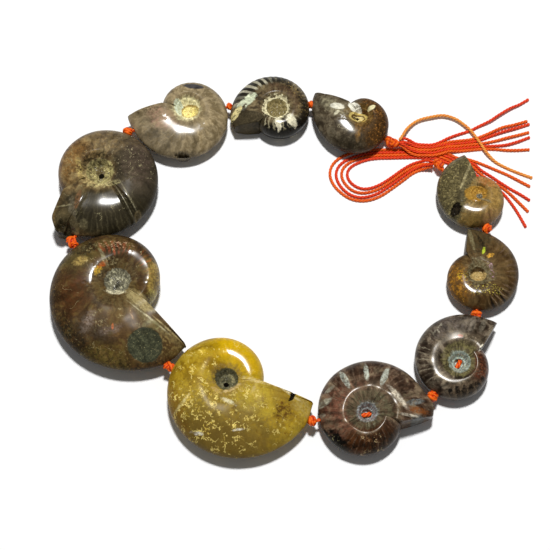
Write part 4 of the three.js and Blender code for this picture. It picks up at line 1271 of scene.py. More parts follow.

# %% [markdown]
# The fifth stone is the largest. Mahogany brown with sheets of red, gold and lavender where thin shell
# still covers the stone, a silver crystalline umbilicus, a wedge of chalk by the notch and a round window
# of grey-green sea bed near the end of the last whorl. The lavender of that shell below the umbilicus is
# its painted sheen, the gold and red-orange spots above and left of the umbilicus are painted glints, and
# the cut face of the lip is painted pale cream as if lit.

# %% Finish of stone 5
stone_finish(
    "ammonite_05",
    tones=[(60, 44, 26), (74, 53, 30), (86, 64, 35), (98, 80, 44)],
    size=6.0, specks=0.1, layers=[
    layer((80, 46, 24), patch(-14, -2, 6, 11, -12, 0.3, 5.0, 0.6), strength=0.7),
    layer((92, 66, 36), patch(4, -15, 9, 5, -8, 0.3, 5.0, 0.5), strength=0.6),
    layer((92, 78, 36), patch(-5, -29, 10, 5, -4, 0.3, 3.0, 0.35), strength=0.9),
    layer((84, 74, 60), patch(-8, -18, 8, 5, -10, 0.3, 4.0, 0.5), strength=0.5),
    layer((88, 78, 42), patch(-15, 9, 7, 6, 30, 0.3, 4.0, 0.4), strength=0.8),
    layer((38, 34, 24), patch(-18, -21, 5, 12, 38, 0.35, 2.0, 0.4), flecks(1.6, 0.7), strength=0.85),
    layer((40, 34, 22), ring(0.86, 1.2, 0.12, 0.2), flecks(1.4, 0.6), strength=0.7),
    layer((132, 108, 62), ring(0.8, 1.3, 0.1, 0.2), flecks(0.9, 0.25), strength=0.6),
    layer((178, 150, 78), patch(14.2, -1, 3.4, 9, 8, 0.18, 2.0, 0.2), strength=0.9),
    layer((186, 174, 90), patch(14.0, -6, 2.6, 3.0, 0, 0.25, 1.5, 0.2), strength=0.8),
    layer((176, 84, 52), patch(-2, 12.0, 7, 2.6, -6, 0.2), ribs(40, 0.3, 0.6, 0.3, 0.0), strength=0.8),
    layer((230, 190, 150), patch(-1, 13.2, 7, 1.8, -6), flecks(0.8), strength=0.7),
    layer((176, 84, 40), patch(10.4, 6.0, 2.4, 5.5, 18, 0.15), ribs(46, 0.3, 0.4, 0.3, 0.0),
          strength=0.5),
    layer((176, 150, 84), patch(-13.6, 6.9, 2.6, 1.7, 20, 0.25, 1.2, 0.3), strength=0.85),
    layer((52, 44, 28), patch(-11, 12, 4.2, 2.2, 20, 0.5, 1.2, 0.15), strength=0.9, rough=0.7,
          coat=0.3),
    layer((150, 136, 92), patch(-11, 12, 4.4, 2.4, 20, 0.4, 1.2), flecks(0.9, 0.35), strength=0.7),
    # Painted glints: gold and red-orange spots on the thin shell above and left of the umbilicus.
    layer((250, 200, 64), patch(-7.0, 3.4, 2.0, 1.2, 60, 0.35, 0.8, 0.2)),
    layer((216, 96, 30), patch(-5.4, 5.6, 2.2, 0.9, 34, 0.35, 0.8, 0.2), strength=0.9),
    layer((150, 144, 110), patch(-5.2, 8.4, 0.7, 3.8, 25, 0.35, 1.2, 0.3), strength=0.8),
    # Thin shell with its sheen painted in: lavender patches below the umbilicus.
    layer((146, 130, 118), patch(-9.6, -15.6, 3.6, 1.7, 62, 0.35, 1.6, 0.7), strength=0.6),
    layer((140, 122, 112), patch(-1.6, -19.0, 3.6, 1.2, 16, 0.35, 1.6, 0.7), strength=0.6),
    layer((206, 110, 60), patch(-1.0, -18.0, 0.4, 1.0, 0, 0.3, edge=0.4), strength=0.8),
    layer((150, 104, 60), patch(5.6, -13.0, 0.5, 2.6, 18, 0.3, 1.2), strength=0.5),
    layer((104, 88, 56), ring(-0.05, 0.22, 0.08, 0.2), strength=0.8, rough=0.5),
    layer((160, 144, 98), patch(8.6, -8.2, 6.0, 2.5, -38, 0.25, 1.4, 0.3), rough=0.7, coat=0.15,
          height=0.1),
    layer((120, 96, 58), patch(8.6, -8.2, 6.2, 2.4, -38), flecks(0.8, 0.4), strength=0.6),
    layer((140, 126, 84), patch(15.2, -18.0, 10.5, 1.3, -38, 0.12, edge=0.3), strength=0.85),
    layer((206, 196, 156), patch(12.0, -14.6, 8.6, 0.32, -38, 0.02, edge=0.4), strength=0.9),
    layer((190, 172, 122), patch(18.6, -18.4, 6.4, 0.32, -40, 0.02, edge=0.4), strength=0.8),
    layer((84, 66, 36), patch(18.0, -24.0, 5.0, 4.0, -38, 0.2, edge=0.3), strength=0.8),
    layer((140, 120, 72), patch(18.6, -23.6, 5.0, 4.0), flecks(1.1, 0.45), strength=0.5),
    layer((142, 134, 88), patch(12.6, -17.4, 3.0, 1.8, 0, 0.08, edge=0.15), strength=0.9),
    layer((108, 86, 46), patch(12.6, -17.6, 2.0, 1.1, 0, 0.08, edge=0.15), strength=0.8),
    layer((50, 53, 40), patch(10.6, -24.2, 6.2, 6.0, 0, 0.045, edge=0.05), rough=0.75, coat=0.12,
          height=-0.1),
    layer((104, 104, 76), patch(10.6, -24.2, 6.0, 5.8, 0, 0.045), grains(0.55), strength=0.55,
          height=0.12),
    layer((158, 152, 110), patch(10.6, -24.2, 6.0, 5.8), flecks(0.7, 0.16), strength=0.8, height=0.1),
    layer((92, 88, 74), ring(-2.0, -0.08, 0.06, 0.08), rough=0.5, coat=0.6),
    layer((206, 200, 164), ring(-0.85, -0.12, 0.08), grains(1.0), strength=0.95, rough=0.35,
          height=0.2),
    layer((236, 228, 190), patch(-0.6, -4.2, 3.4, 1.2, 0, 0.25, 1.0), strength=0.8),
    layer((34, 32, 26), patch(-0.1, -1.4, 1.1, 0.8, 60, 0.3, 0.8), strength=0.9, coat=0.0),
    # Painted light: the cut face of the lip is painted pale cream, as a lit edge instead of a shaded wall.
    layer((226, 214, 170), wall(), patch(16, -19, 12, 9, 0, edge=0.3), rough=0.4),
    layer((206, 190, 140), patch(0, 0, 34, 30), cracks(11, 0.09, 0.4), strength=0.6),
    dull(-20, 132),
    dull(168, 254),
    dull(320, 380),
], chip=(60, 52, 34))

# %% [markdown]
# The sixth stone is golden calcite, so clear that light scatters inside it. It is most orange at the upper
# right and olive below. Hundreds of pale gold curls cover its lower and left parts: they are the sutures. A
# black fissure and a brown stain lie near the tip.

# %% Finish of stone 6
stone_finish(
    "ammonite_06",
    tones=[(142, 112, 26), (168, 136, 32), (184, 152, 40), (194, 164, 52)],
    size=6.0, specks=0.06, streaks=(50, 0.1), rough=0.38, satin=0.03, glow=0.1, chip=(40, 34, 20), layers=[
    layer((216, 174, 12), patch(7, 13, 13, 10, -40, 0.25, 4.0, 0.5)),
    layer((208, 168, 16), patch(12, 7, 6, 8, 0, 0.3, 3.0, 0.5), strength=0.8),
    layer((150, 124, 44), patch(-6, -8, 17, 9, 10, 0.25, 4.0, 0.6), strength=0.75),
    layer((144, 122, 54), patch(-2, -14, 27, 10, -4, 0.3, 5.0, 0.6), strength=0.85),
    layer((116, 94, 40), patch(-4, -23, 24, 10, -4, 0.3, 4.0, 0.5)),
    layer((132, 94, 28), patch(-21, -9, 5, 12, 22, 0.35, 3.0, 0.5), strength=0.8),
    layer((200, 174, 48), patch(11, -6, 9, 6, -20, 0.3, 3.0, 0.5), strength=0.7),
    layer((120, 92, 38), patch(22, -8.5, 8, 5, -28, 0.3, 3.0, 0.5), strength=0.6),
    layer((112, 84, 24), patch(-6, -14, 24, 15, 0, 0.2), curls(4.4, 0.7), strength=0.8),
    layer((240, 216, 122), patch(-8, -9, 21, 19, 0, 0.2, 4.0, 0.3), curls(3.8, 0.48, 1.0), height=0.05),
    layer((226, 196, 92), patch(-8, -4, 18, 20, 0, 0.2, 4.0, 0.3), curls(3.2), height=0.04),
    layer((242, 214, 110), patch(-4, 12, 14, 10, 0, 0.3, 4.0, 0.3), curls(3.6, 0.38), height=0.03),
    layer((220, 196, 108), patch(0, -17, 24, 11, 0, 0.2, 4.0, 0.3), curls(3.5, 0.44, 0.9), height=0.04),
    layer((110, 66, 18), patch(19, -15, 7, 7, 0, 0.3), curls(4.2, 0.36, 0.9), strength=0.9),
    # Painted glints: two near-white specks low on the flank.
    layer((250, 246, 226), patch(-10.0, -19.6, 2.3, 0.55, -14, 0.55, 1.4, 0.5), strength=0.6),
    layer((250, 246, 226), patch(4.6, -18.6, 1.8, 0.4, 8, 0.55, 1.4, 0.5), strength=0.6),
    layer((226, 208, 140), patch(-15.5, -9.0, 4.0, 0.6, 48, 0.5, 1.2, 0.4), strength=0.8),
    layer((240, 230, 184), patch(0.6, -8.6, 2.6, 0.7, -25, 0.5, 1.2, 0.4), strength=0.9),
    layer((84, 52, 18), patch(19.4, -12.2, 2.6, 3.2, -20, 0.5, 1.6, 0.3), strength=0.85),
    layer((228, 206, 140), patch(11.5, -1.0, 6.5, 0.9, -12, 0.3, 1.2, 0.3), strength=0.8),
    layer((226, 214, 168), patch(22.6, -5.6, 4.0, 0.45, -32, 0.1, edge=0.4), strength=0.8),
    layer((206, 184, 104), patch(27.0, -9.6, 4.5, 2.6, -40, 0.2, 2.0, 0.5), strength=0.5),
    layer((158, 130, 70), ring(-0.05, 0.12, 0.08), strength=0.7),
    layer((84, 82, 58), ring(-2.0, -0.06, 0.08, 0.06), rough=0.5),
    layer((176, 166, 120), ring(-0.62, -0.36, 0.06, 0.06), sector(120, 380, 20), strength=0.9),
    layer((52, 52, 40), patch(-2.6, 1.4, 3.8, 2.6, 20, 0.25, 1.0), ring(-2.0, 0.05), strength=0.9),
    layer((168, 160, 122), ring(-0.9, -0.1, 0.08), grains(0.7), strength=0.6, height=0.12),
    layer((212, 186, 128), patch(1.8, -3.4, 3.4, 1.0, 28, 0.12, 1.0, 0.2), strength=0.95),
    layer((196, 166, 100), patch(-3.6, -4.4, 2.2, 0.8, -30, 0.15, 1.0, 0.2), strength=0.8),
    layer((12, 10, 8), patch(-0.3, -1.4, 0.95, 0.85, 0, 0.03, edge=0.1), rough=0.9, coat=0.0),
    layer((24, 20, 10), patch(23.2, -6.0, 2.2, 0.75, 62, 0.45, 0.9, 0.12), rough=0.7, coat=0.2),
    layer((24, 20, 10), patch(22.4, -4.4, 1.8, 0.42, -18, 0.45, 0.9, 0.15), rough=0.7, coat=0.2),
    *glossy(262, 336),
])

# %% [markdown]
# The seventh stone is polished like metal: copper-red and grey-brown, with wedges of pale mint on its ribs.
# A low crest runs round a wide, shallow, olive hollow. Pearl lines the middle of it, and there the bore
# opens and the thread shows.

# %% Finish of stone 7


def wedge(tone, x, y, long, wide, turn, ragged=0.15, strength=0.9):
    """A smooth-edged splinter of pale shell between two ribs."""
    return layer(tone, patch(x, y, long, wide, turn, ragged, 1.0, 0.2), strength=strength)


stone_finish(
    "ammonite_07",
    tones=[(50, 35, 25), (76, 57, 43), (92, 74, 58), (116, 100, 78)],
    size=4.5, rough=0.3, satin=0.09, streaks=(60, 0.34), layers=[
    layer((118, 74, 56), patch(-6, -2, 10, 11, 30, 0.3, 3.0, 0.5), strength=0.7),
    layer((66, 38, 18), patch(2, -12, 13, 7, 8, 0.25, 3.0, 0.35)),
    layer((40, 34, 26), patch(9, -12, 6, 5, 20, 0.3, 3.0, 0.5), strength=0.9),
    layer((40, 26, 18), patch(8, -13, 10, 4, 20, 0.3, 2.0), flecks(1.6, 0.6), strength=0.85),
    layer((128, 108, 88), ribs(44, 0.7, 0.35, 0.2, 0.42), strength=0.45),
    layer((60, 40, 30), ribs(44, 1.2, 0.22, 0.2, 0.42), strength=0.55),
    wedge((186, 190, 174), -7.7, 12.0, 1.1, 3.6, 24),
    wedge((186, 190, 174), 0.0, 14.4, 0.9, 3.4, 4),
    wedge((186, 190, 174), 6.4, 12.6, 1.1, 3.6, -22),
    wedge((160, 160, 140), -15.5, 3.4, 3.2, 1.3, 24, 0.2, strength=0.8),
    wedge((150, 148, 130), -13.0, 8.4, 2.0, 0.8, 40, 0.2, strength=0.7),
    wedge((140, 138, 120), -16.4, -1.0, 2.0, 0.8, 5, 0.2, strength=0.6),
    wedge((118, 122, 118), 17.0, 3.4, 3.2, 1.1, 14, 0.25, strength=0.85),
    wedge((120, 126, 124), 18.4, -2.8, 3.0, 1.3, -14, 0.25, strength=0.85),
    layer((124, 70, 30), patch(18.0, 0.4, 4.2, 1.1, -8, 0.25, 1.0, 0.3), strength=0.8),
    layer((186, 160, 104), patch(9.5, 8.5, 4.5, 2.6, -40, 0.3), curls(3.7), strength=0.7),
    layer((150, 116, 78), patch(7, -12.5, 9, 5), curls(3.7, 0.41), strength=0.7),
    # Painted highlights: a near-white streak from the crest towards the lip, and a pale one where the lip
    # begins.
    layer((236, 224, 200), patch(11.2, 4.7, 4.6, 0.9, -51, 0.3, 1.2, 0.5), strength=0.95),
    layer((226, 214, 190), patch(14.5, -1.6, 3.4, 0.5, -8, 0.3, 1.2, 0.4), strength=0.8),
    layer((18, 14, 10), patch(-1, -13.5, 16, 5, 8, 0.2, 3.0, 0.4), flecks(2.0, 0.42), strength=0.9),
    layer((196, 170, 124), patch(0, -13.5, 15, 4.5, 8, 0.2), curls(3.9, 0.4, 0.5), strength=0.8),
    layer((14, 12, 10), patch(-12.0, -10.9, 6.0, 3.7, -42, 0.45, 2.0, 0.25)),
    layer((178, 168, 120), patch(-12.0, -10.8, 3.6, 2.4, -42), flecks(1.0, 0.22), strength=0.9),
    layer((92, 86, 64), ring(-0.3, 0.27, 0.06, 0.06), strength=0.9),
    layer((150, 150, 124), ring(-0.2, 0.25, 0.06), curls(4.4, 0.36, 0.55), strength=0.5),
    layer((140, 142, 136), ring(-2.0, -0.02, 0.08, 0.05), rough=0.3),
    layer((78, 74, 62), ring(-0.62, -0.34, 0.08, 0.2), strength=0.9),
    layer((226, 230, 232), ring(-2.0, -0.05, 0.08), grains(1.3), strength=0.6, rough=0.25, height=0.1),
    layer((96, 96, 92), ring(-2.0, -0.05, 0.08), flecks(0.9, 0.35), strength=0.6),
    layer(None, crest_band(), coat=0.22),
    dull(196, 256, coat=0.08),
    dull(326, 380),
])

# %% [markdown]
# The eighth stone has the same metallic polish, in grey-brown. Its hollow is lined with silver and teal
# pearl inside a band of olive gold, it turns red-brown on the right, and black commas of suture line its
# lower rim.

# %% Finish of stone 8


def comma(x, y, long, wide, turn, ragged=0.5, strength=0.95):
    """One black comma of suture."""
    return layer((12, 11, 10), patch(x, y, long, wide, turn, ragged, 0.8, 0.15), strength=strength)


stone_finish(
    "ammonite_08",
    tones=[(42, 33, 25), (64, 53, 42), (82, 70, 57), (118, 106, 88)],
    size=4.0, rough=0.3, satin=0.09, streaks=(60, 0.34), layers=[
    layer((104, 96, 88), patch(-3, 13, 9, 4, 15, 0.3, 3.0), strength=0.6),
    layer((82, 42, 26), patch(9.0, -2.0, 6, 7, 0, 0.25, 2.0, 0.35), strength=0.9),
    layer((44, 32, 22), patch(3, -13.5, 13, 4.5, 12, 0.25, 2.0, 0.35), strength=0.9),
    layer((150, 140, 118), ribs(40, 0.5, 0.3, 0.2, 0.5), patch(-10.5, 3, 5, 11, 0, 0.2), strength=0.7),
    layer((48, 34, 26), ribs(40, 0.9, 0.3, 0.2, 0.5), patch(-10.5, 2, 5, 12, 0, 0.2), strength=0.7),
    layer((44, 34, 26), patch(-3.5, 16.5, 7, 1.0, 12, 0.2), curls(3.7, 0.45, 0.75), strength=0.8),
    layer((186, 178, 156), patch(-7.6, 12.6, 3.0, 2.0, 35), curls(3.7, 0.38, 0.75), strength=0.8),
    layer((128, 118, 104), patch(5.0, 14.0, 1.1, 4.0, -18, 0.2), strength=0.7),
    layer((120, 112, 96), patch(9.0, 14.0, 1.0, 3.6, -24, 0.2), strength=0.7),
    layer((180, 60, 40), patch(0.3, 9.2, 0.9, 0.6, 0, 0.2, edge=0.3), strength=0.7),
    layer((140, 90, 60), patch(10.0, -1.0, 4.5, 5.5), flecks(0.8), strength=0.6),
    layer((120, 112, 72), ring(-0.3, 0.22, 0.06, 0.06), strength=0.9),
    layer((42, 34, 26), patch(6.6, 7.4, 4.0, 1.2, 20, 0.3, 1.0, 0.3), strength=0.85),
    # Painted glint: a short near-white stroke on the upper right.
    layer((214, 208, 186), patch(7.6, 4.8, 1.5, 0.45, 60, 0.3, 0.8, 0.2), strength=0.9),
    layer((146, 160, 148), ring(-2.0, -0.02, 0.08, 0.06), rough=0.3),
    layer((226, 232, 220), ring(-2.0, -0.06, 0.08), grains(0.9), strength=0.7, rough=0.25, height=0.1),
    layer((180, 168, 100), ring(-0.75, -0.1, 0.08), flecks(0.9), strength=0.7),
    layer((108, 92, 72), patch(3, -9.6, 9, 2.2, 12, 0.3, 3.0, 0.4), strength=0.8),
    comma(-3.6, -11.2, 0.7, 1.3, 24, 0.4),
    comma(-1.2, -11.0, 0.8, 1.6, 14),
    comma(1.2, -10.6, 0.9, 1.5, -6),
    comma(3.6, -10.2, 1.1, 1.7, 10),
    comma(6.2, -8.7, 1.2, 1.6, 30),
    comma(8.2, -6.7, 0.9, 1.5, 50, strength=0.9),
    layer(None, crest_band(), coat=0.3),
    dull(-20, 30),
    dull(250, 380, coat=0.12),
])

# %% [markdown]
# The ninth stone is amber on the left, where the sutures stand out in dark gold, and plain brown on the
# right, with black rib marks below. Specks of gold, pink and green flash round its tan umbilicus, and the
# last whorl ends in a grey, creased stub. The pink specks and the orange-gold spot on the umbilicus's
# upper right are pearl with its glints painted in.

# %% Finish of stone 9
stone_finish(
    "ammonite_09",
    tones=[(72, 52, 28), (86, 66, 38), (96, 76, 46)],
    size=4.0, layers=[
    layer((134, 90, 32), patch(-9, -4, 6, 9, 10, 0.25, 2.5, 0.45), strength=0.9),
    layer((176, 124, 40), patch(-10, -3, 5, 8, 10), flecks(1.1, 0.4), strength=0.75),
    layer((206, 160, 70), patch(-8.5, -5, 7, 9, 0, 0.2, 3.0), curls(3.9, 0.4, 0.75), strength=0.8),
    layer((60, 36, 14), patch(-8.5, -5, 7, 10, 0, 0.2, 3.0), curls(4.0, 0.36, 0.75), strength=0.7),
    layer((112, 92, 76), patch(10.5, 1, 5, 12, 0), ribs(36, 0.5, 0.4, 0.2, 0.5), strength=0.6),
    layer((18, 14, 10), patch(7.4, -9.2, 5.2, 2.6, 38, 0.1), ribs(36, 0.4, 0.5, 0.15, 0.3)),
    layer((160, 138, 112), patch(7.4, -9.2, 5.2, 2.6, 38), ribs(36, 1.1, 0.25, 0.15, 0.3),
          strength=0.7),
    layer((74, 64, 42), patch(0.5, 14.5, 5.4, 6.0, 10, 0.15, 2.0, 0.2), strength=0.9, rough=0.45),
    layer((132, 122, 88), patch(-1.8, 14.0, 0.7, 5.0, 8, 0.4, 1.2, 0.3), strength=0.8),
    layer((36, 30, 20), patch(1.6, 12.6, 0.6, 4.6, 22, 0.3, 1.2, 0.25), strength=0.85),
    layer((36, 30, 20), patch(-0.4, 8.4, 3.6, 0.6, 8, 0.4, 1.2, 0.25), strength=0.7),
    layer((188, 160, 118), patch(3.6, 0.6, 1.0, 4.0, 8, 0.3, 1.0, 0.3), grains(0.8), strength=0.9),
    # Pearl with painted glints: pink specks right of the umbilicus.
    layer((214, 170, 190), patch(4.6, 1.6, 1.0, 3.6, 10), flecks(0.9, 0.45), strength=0.85),
    layer((196, 214, 60), patch(2.4, 8.8, 0.55, 1.5, -12, 0.2, 0.8, 0.25), strength=0.9),
    # Pearl with a painted glint: an orange-gold spot on the upper right.
    layer((224, 168, 62), patch(4.7, 6.8, 1.3, 0.8, 20, 0.4, 0.8, 0.25), strength=0.9),
    layer((222, 190, 50), patch(-5.6, -1.0, 1.8, 2.4, 0, 0.3), flecks(0.9, 0.4), strength=0.9),
    layer((232, 214, 90), patch(1.5, -6.0, 7, 2.4, -6), flecks(0.6, 0.28), strength=0.8),
    layer((92, 84, 58), ring(-0.15, 0.16, 0.08, 0.15), strength=0.85, rough=0.5),
    layer((178, 166, 128), ring(-0.2, 0.22, 0.08, 0.15), grains(0.7), strength=0.5, height=0.12),
    layer((196, 168, 108), patch(0.2, -0.6, 2.9, 2.0, 4, 0.12, 0.9, 0.12), rough=0.55, coat=0.5),
    layer((120, 92, 48), patch(0.2, -0.6, 2.8, 1.9), flecks(0.8, 0.35), strength=0.6),
    *glossy(190, 268),
])

# %% [markdown]
# The tenth stone is half fossil, half sea bed: granular olive-grey matrix on the left of a pale crack, and
# clear amber calcite on the right. The middle of the coil is one squarish amber patch round a grey spot.

# %% Finish of stone 10
stone_finish(
    "ammonite_10",
    tones=[(112, 86, 44), (142, 112, 58), (150, 124, 76)],
    size=4.0, glow=0.03, layers=[
    layer((168, 134, 72), patch(8, -1, 6, 9, 0, 0.25, 2.5, 0.5), strength=0.8),
    layer((196, 116, 62), patch(3.6, 4.8, 3.6, 2.6, -30, 0.25, 2.0, 0.5), strength=0.6),
    layer((104, 84, 42), patch(-1, -11.5, 9, 4.0, 0, 0.25, 2.0, 0.4), strength=0.85),
    layer((158, 116, 84), patch(5.0, -9.5, 4, 3, 20, 0.25, 2.0, 0.5), strength=0.5),
    layer((120, 100, 62), patch(6.5, -2, 6, 9, 0), flecks(1.5, 0.35), strength=0.35),
    layer((78, 70, 44), patch(-10.6, 1.5, 6.6, 16.5, -10, 0.14, 2.5, 0.1), rough=0.5, coat=0.65),
    layer((80, 72, 48), patch(-5.2, 11.0, 4.6, 8.0, 6, 0.14, 2.5, 0.12), rough=0.5, coat=0.65),
    layer((136, 124, 84), patch(-9.2, 3.0, 8.0, 17.0, -10, 0.1), grains(0.6), strength=0.6, height=0.1),
    layer((44, 40, 28), patch(-9.2, 3.0, 8.0, 17.0, -10, 0.1), flecks(0.9, 0.35), strength=0.7),
    layer((176, 160, 104), patch(-8.6, 3.0, 7.4, 15.0, -10, 0.1), flecks(0.7, 0.25), strength=0.8),
    layer((196, 182, 136), patch(-4.6, 6.6, 0.5, 6.0, -22, 0.3, 1.4, 0.3), strength=0.7),
    layer((146, 134, 96), patch(-6.4, -1.6, 0.5, 5.0, -12, 0.3, 1.4, 0.3), strength=0.6),
    layer((54, 48, 30), patch(-7.4, -3.4, 1.5, 5.6, -8, 0.3, 1.2, 0.3), strength=0.8),
    layer((176, 132, 52), patch(-1.0, -0.1, 4.2, 3.0, 8, 0.16, 1.6, 0.1), rough=0.4),
    layer((200, 158, 76), patch(-1.4, 0.2, 3.2, 2.1, 8, 0.2, 1.2, 0.3), strength=0.6),
    layer((150, 140, 110), patch(2.0, -2.4, 3.0, 0.5, -34, 0.2, 1.0, 0.3), strength=0.7),
    layer((96, 94, 82), patch(0.5, -0.6, 1.2, 0.95, 0, 0.2, 0.8, 0.15)),
    layer((214, 202, 168), patch(0.6, -0.3, 1.1, 0.8), flecks(0.6, 0.4), strength=0.7),
    layer((30, 27, 20), patch(-8.4, -6.2, 1.7, 2.6, -18, 0.3, 1.2, 0.12), rough=0.6, coat=0.3),
    *glossy(116, 188),
])

# %% [markdown]
# The thread is dyed nylon. Its colour follows how far a point stands above the groove: the deep red
# between its plies is painted shade, and the bright orange along their tops is a painted highlight over the
# dye's own orange. Fine noise stands for the single fibres. The loose threads come from slightly different
# dye lots, so some of them are redder or paler than the rest.

# %% Dyed thread
PLY_SHADE_AND_FIBRES, n, given, end = group("PlyShadeAndFibres", "Value", Place=None, Size=0.16)
fine = n.wobble(given["Place"], given["Size"], 3.0, 0.6)
slow = n.wobble(given["Place"], 2.4, 1.0)
# The ridge mark lights the tops of the plies and leaves the grooves dark: painted light and shade, with fibre
# noise over it.
lit = n.math("MULTIPLY_ADD", fine, 1.1, n.mark("ridge"))
end(n.math("MULTIPLY_ADD", slow, 0.5, lit))


def thread_finish(name, groove, body, top):
    """The material of one dye lot, from the painted shade in the grooves to the painted highlight along the
    tops of the plies.
    """
    material = bpy.data.materials.new(name)
    material.use_nodes = True
    n = Nodes(material.node_tree)
    shader = material.node_tree.nodes["Principled BSDF"]
    object_place = n.add("ShaderNodeTexCoord").outputs["Object"]
    place = n.add("ShaderNodeMapping", object_place, (0, 0, 0), (0, 0, 0), (1000,) * 3).outputs[0]
    fibres = n.use(PLY_SHADE_AND_FIBRES, Place=place)
    # From painted shade in the grooves, through the dye's colour, to a painted highlight on the ply tops.
    stops = [(0.05, shade(*groove)), (0.45, shade(*body)), (0.95, shade(*top))]
    bump = n.add("ShaderNodeBump", 0.6, 0.001)
    n.fill(bump.inputs["Height"], n.times(fibres, 0.05))
    n.fill(shader.inputs["Base Color"], n.ramp(fibres, stops))
    n.fill(shader.inputs["Normal"], bump.outputs[0])
    shader.inputs["Roughness"].default_value = 0.55
    shader.inputs["Specular IOR Level"].default_value = 0.25
    return material


# Each lot: the painted shade of its grooves, the dye's own colour, and the painted highlight on its ply tops.
THREADS = {
    "orange": thread_finish("thread_orange", (140, 16, 0), (232, 56, 0), (255, 118, 14)),
    "red": thread_finish("thread_red", (132, 8, 0), (224, 34, 2), (248, 76, 20)),
    "pale": thread_finish("thread_pale", (176, 56, 4), (240, 120, 30), (255, 180, 80)),
    "knot": thread_finish("thread_knot", (112, 12, 0), (222, 52, 0), (255, 112, 14)),
}

# %% [markdown]
# Here the loose threads are laid on the table. Most are orange, a few are redder, and the outermost of the
# first bunch is paler.

# %% Laying the loose threads
DYE_LOTS = {f"tail_start_{i}": "orange" for i in range(1, len(START_TAILS) + 1)}
DYE_LOTS |= {f"tail_end_{i}": "orange" for i in range(1, len(END_TAILS) + 1)}
DYE_LOTS |= {"tail_start_1": "pale", "tail_start_2": "red", "tail_start_4": "red", "tail_start_6": "red"}
DYE_LOTS |= {"tail_end_2": "red", "tail_end_4": "red"}
lay_loose_threads({name: THREADS[lot] for name, lot in DYE_LOTS.items()})

# %% [markdown]
# An overhand knot pulled tight has the shape of a trefoil: three lobes, each strand over its neighbour. So
# the knot is a spun strand along a trefoil curve, squeezed to the length and width of the real knot. A ball
# with grooves would be simpler, but the light would not catch the strands.

# %% Knots and strings
KNOT_STEPS = 150
KNOT_STRAND = 0.58
KNOT_LAP = 0.92
KNOT_START = 0.35
FIRST_ROLL = 0.5
NEXT_ROLL = 0.9
STRING_STEP = 0.0004
LOOSE_SWELL = 0.45
LOOSE_LENGTH = 0.0018


def knot_path(place, heading, along, across, turn):
    """A trefoil about the heading of the string: (sin t + 2 sin 2t, cos t - 2 cos 2t, -sin 3t), scaled so
    that the strand's outside reaches along and across. turn rolls it about the string."""
    side = np.cross(heading, (0, 0, 1.0))
    side /= np.linalg.norm(side)
    upward = np.cross(side, heading)
    side, upward = side * np.cos(turn) + upward * np.sin(turn), upward * np.cos(turn) - side * np.sin(turn)
    t = np.linspace(KNOT_START, 2 * np.pi + KNOT_START, KNOT_STEPS)[:, None]
    strand = KNOT_STRAND * across
    shape = [(np.sin(t) + 2 * np.sin(2 * t)) * (along - strand) / 3 * heading,
             (np.cos(t) - 2 * np.cos(2 * t)) * (across - strand) / 3 * side,
             -np.sin(3 * t) * (KNOT_LAP * across - strand) * upward]
    return place + sum(shape), 2 * strand


def tie_knot(number):
    """A knot of the strand, headed along the bore that begins at it, or ends at it for the last one."""
    place, along, across = KNOTS[number]
    last = len(STONES)
    line = bore_line(list(STONES)[min(number, last - 1)])
    heading = line[1] - line[0] if number < last else line[-1] - line[-2]
    heading = heading / np.linalg.norm(heading)
    roll = FIRST_ROLL + NEXT_ROLL * number
    path, strand = knot_path(np.array(place), heading, along, across, roll)
    name = f"knot_{number:02d}"
    mesh = spun(name + "_tied", path, strand, across=heading)
    mesh.materials.append(THREADS["knot"])
    return show(mesh, "thread", name)


def string_through(name):
    """The spun string inside a stone, from the middle of one knot to the middle of the next. Where it bends
    in the umbilicus it is slack and swells until it fills the hole."""
    corners = bore_line(name)
    path = evenly(corners, STRING_STEP)
    swell = 1.0
    if STONES[name].through_pole:
        away = np.linalg.norm(path - corners[1], axis=1)
        swell = 1 + LOOSE_SWELL * np.exp(-((away / LOOSE_LENGTH) ** 2))
    node = name.replace("ammonite", "thread_in")
    mesh = spun(node + "_spun", path, STRING, swell=swell)
    mesh.materials.append(THREADS["knot"])
    return show(mesh, "thread", node)


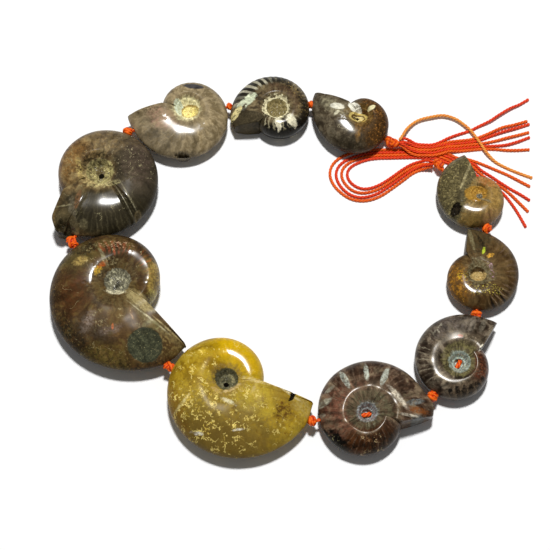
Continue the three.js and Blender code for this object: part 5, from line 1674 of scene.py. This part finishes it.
for number in range(len(KNOTS)):
    tie_knot(number)
for name in STONES:
    string_through(name)
print("knots:", len(KNOTS), "strings:", len(STONES))

# %% [markdown]
# Each stone is woven, drilled and given its finish, and stands for the plain solid of the same name.

# %% Making the stones
for name in STONES:
    finish = FINISHES[name]
    skin = stone_skin(name)
    skin.materials.append(finish)
    skin = drilled(skin, bore_line(name), drilled_wall(name))
    skin.name = name + "_stone"
    show(skin, name, name)
    print(name, len(skin.polygons), "faces", [m.name for m in skin.materials])

# %% [markdown]
# The table is a plain pale sheet, so bright under the lamp that it shows as white. One high lamp beyond the
# strand gives the crisp grey shadows on the near side and the small highlights on the crests. A wide
# softbox would give softer shadows than are wanted. The rest of the light is a dim, even studio white.

# %% Table, lamp and studio
TABLE_DROP = 0.00002
HALF_TABLE = 3
table_mesh = bpy.data.meshes.new("table")
corners = [(HALF_TABLE * x, HALF_TABLE * y, -TABLE_DROP) for x, y in ((-1, -1), (1, -1), (1, 1), (-1, 1))]
table_mesh.from_pydata(corners, [], [(0, 1, 2, 3)])
table = bpy.data.objects.new("table", table_mesh)
scene.collection.objects.link(table)
table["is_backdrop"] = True
table_white = bpy.data.materials.new("table_white")
table_white.use_nodes = True
table_shader = table_white.node_tree.nodes["Principled BSDF"]
table_shader.inputs["Base Color"].default_value = (0.9, 0.9, 0.9, 1)
table_shader.inputs["Roughness"].default_value = 0.9
table_mesh.materials.append(table_white)

scene.view_settings.view_transform = "Standard"
studio = bpy.data.worlds.new("studio")
scene.world = studio
studio.use_nodes = True
studio.node_tree.nodes["Background"].inputs["Color"].default_value = (1, 1, 1, 1)
studio.node_tree.nodes["Background"].inputs["Strength"].default_value = 0.165

lamp = bpy.data.lights.new("lamp", "AREA")
lamp.shape = "DISK"
lamp.size = 0.15
lamp.energy = 20
look("lamp", lamp, (0.03, 0.30, 1.35), (0, 0, 0))

# %% [markdown]
# Last, the sizes of the solids and of the finished surfaces are printed.

# %% Sizes and finish
sizes = {"cad": [list(corner) for corner in cad_box], "visual": [list(corner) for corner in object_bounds()]}
print("sizes:", sizes)
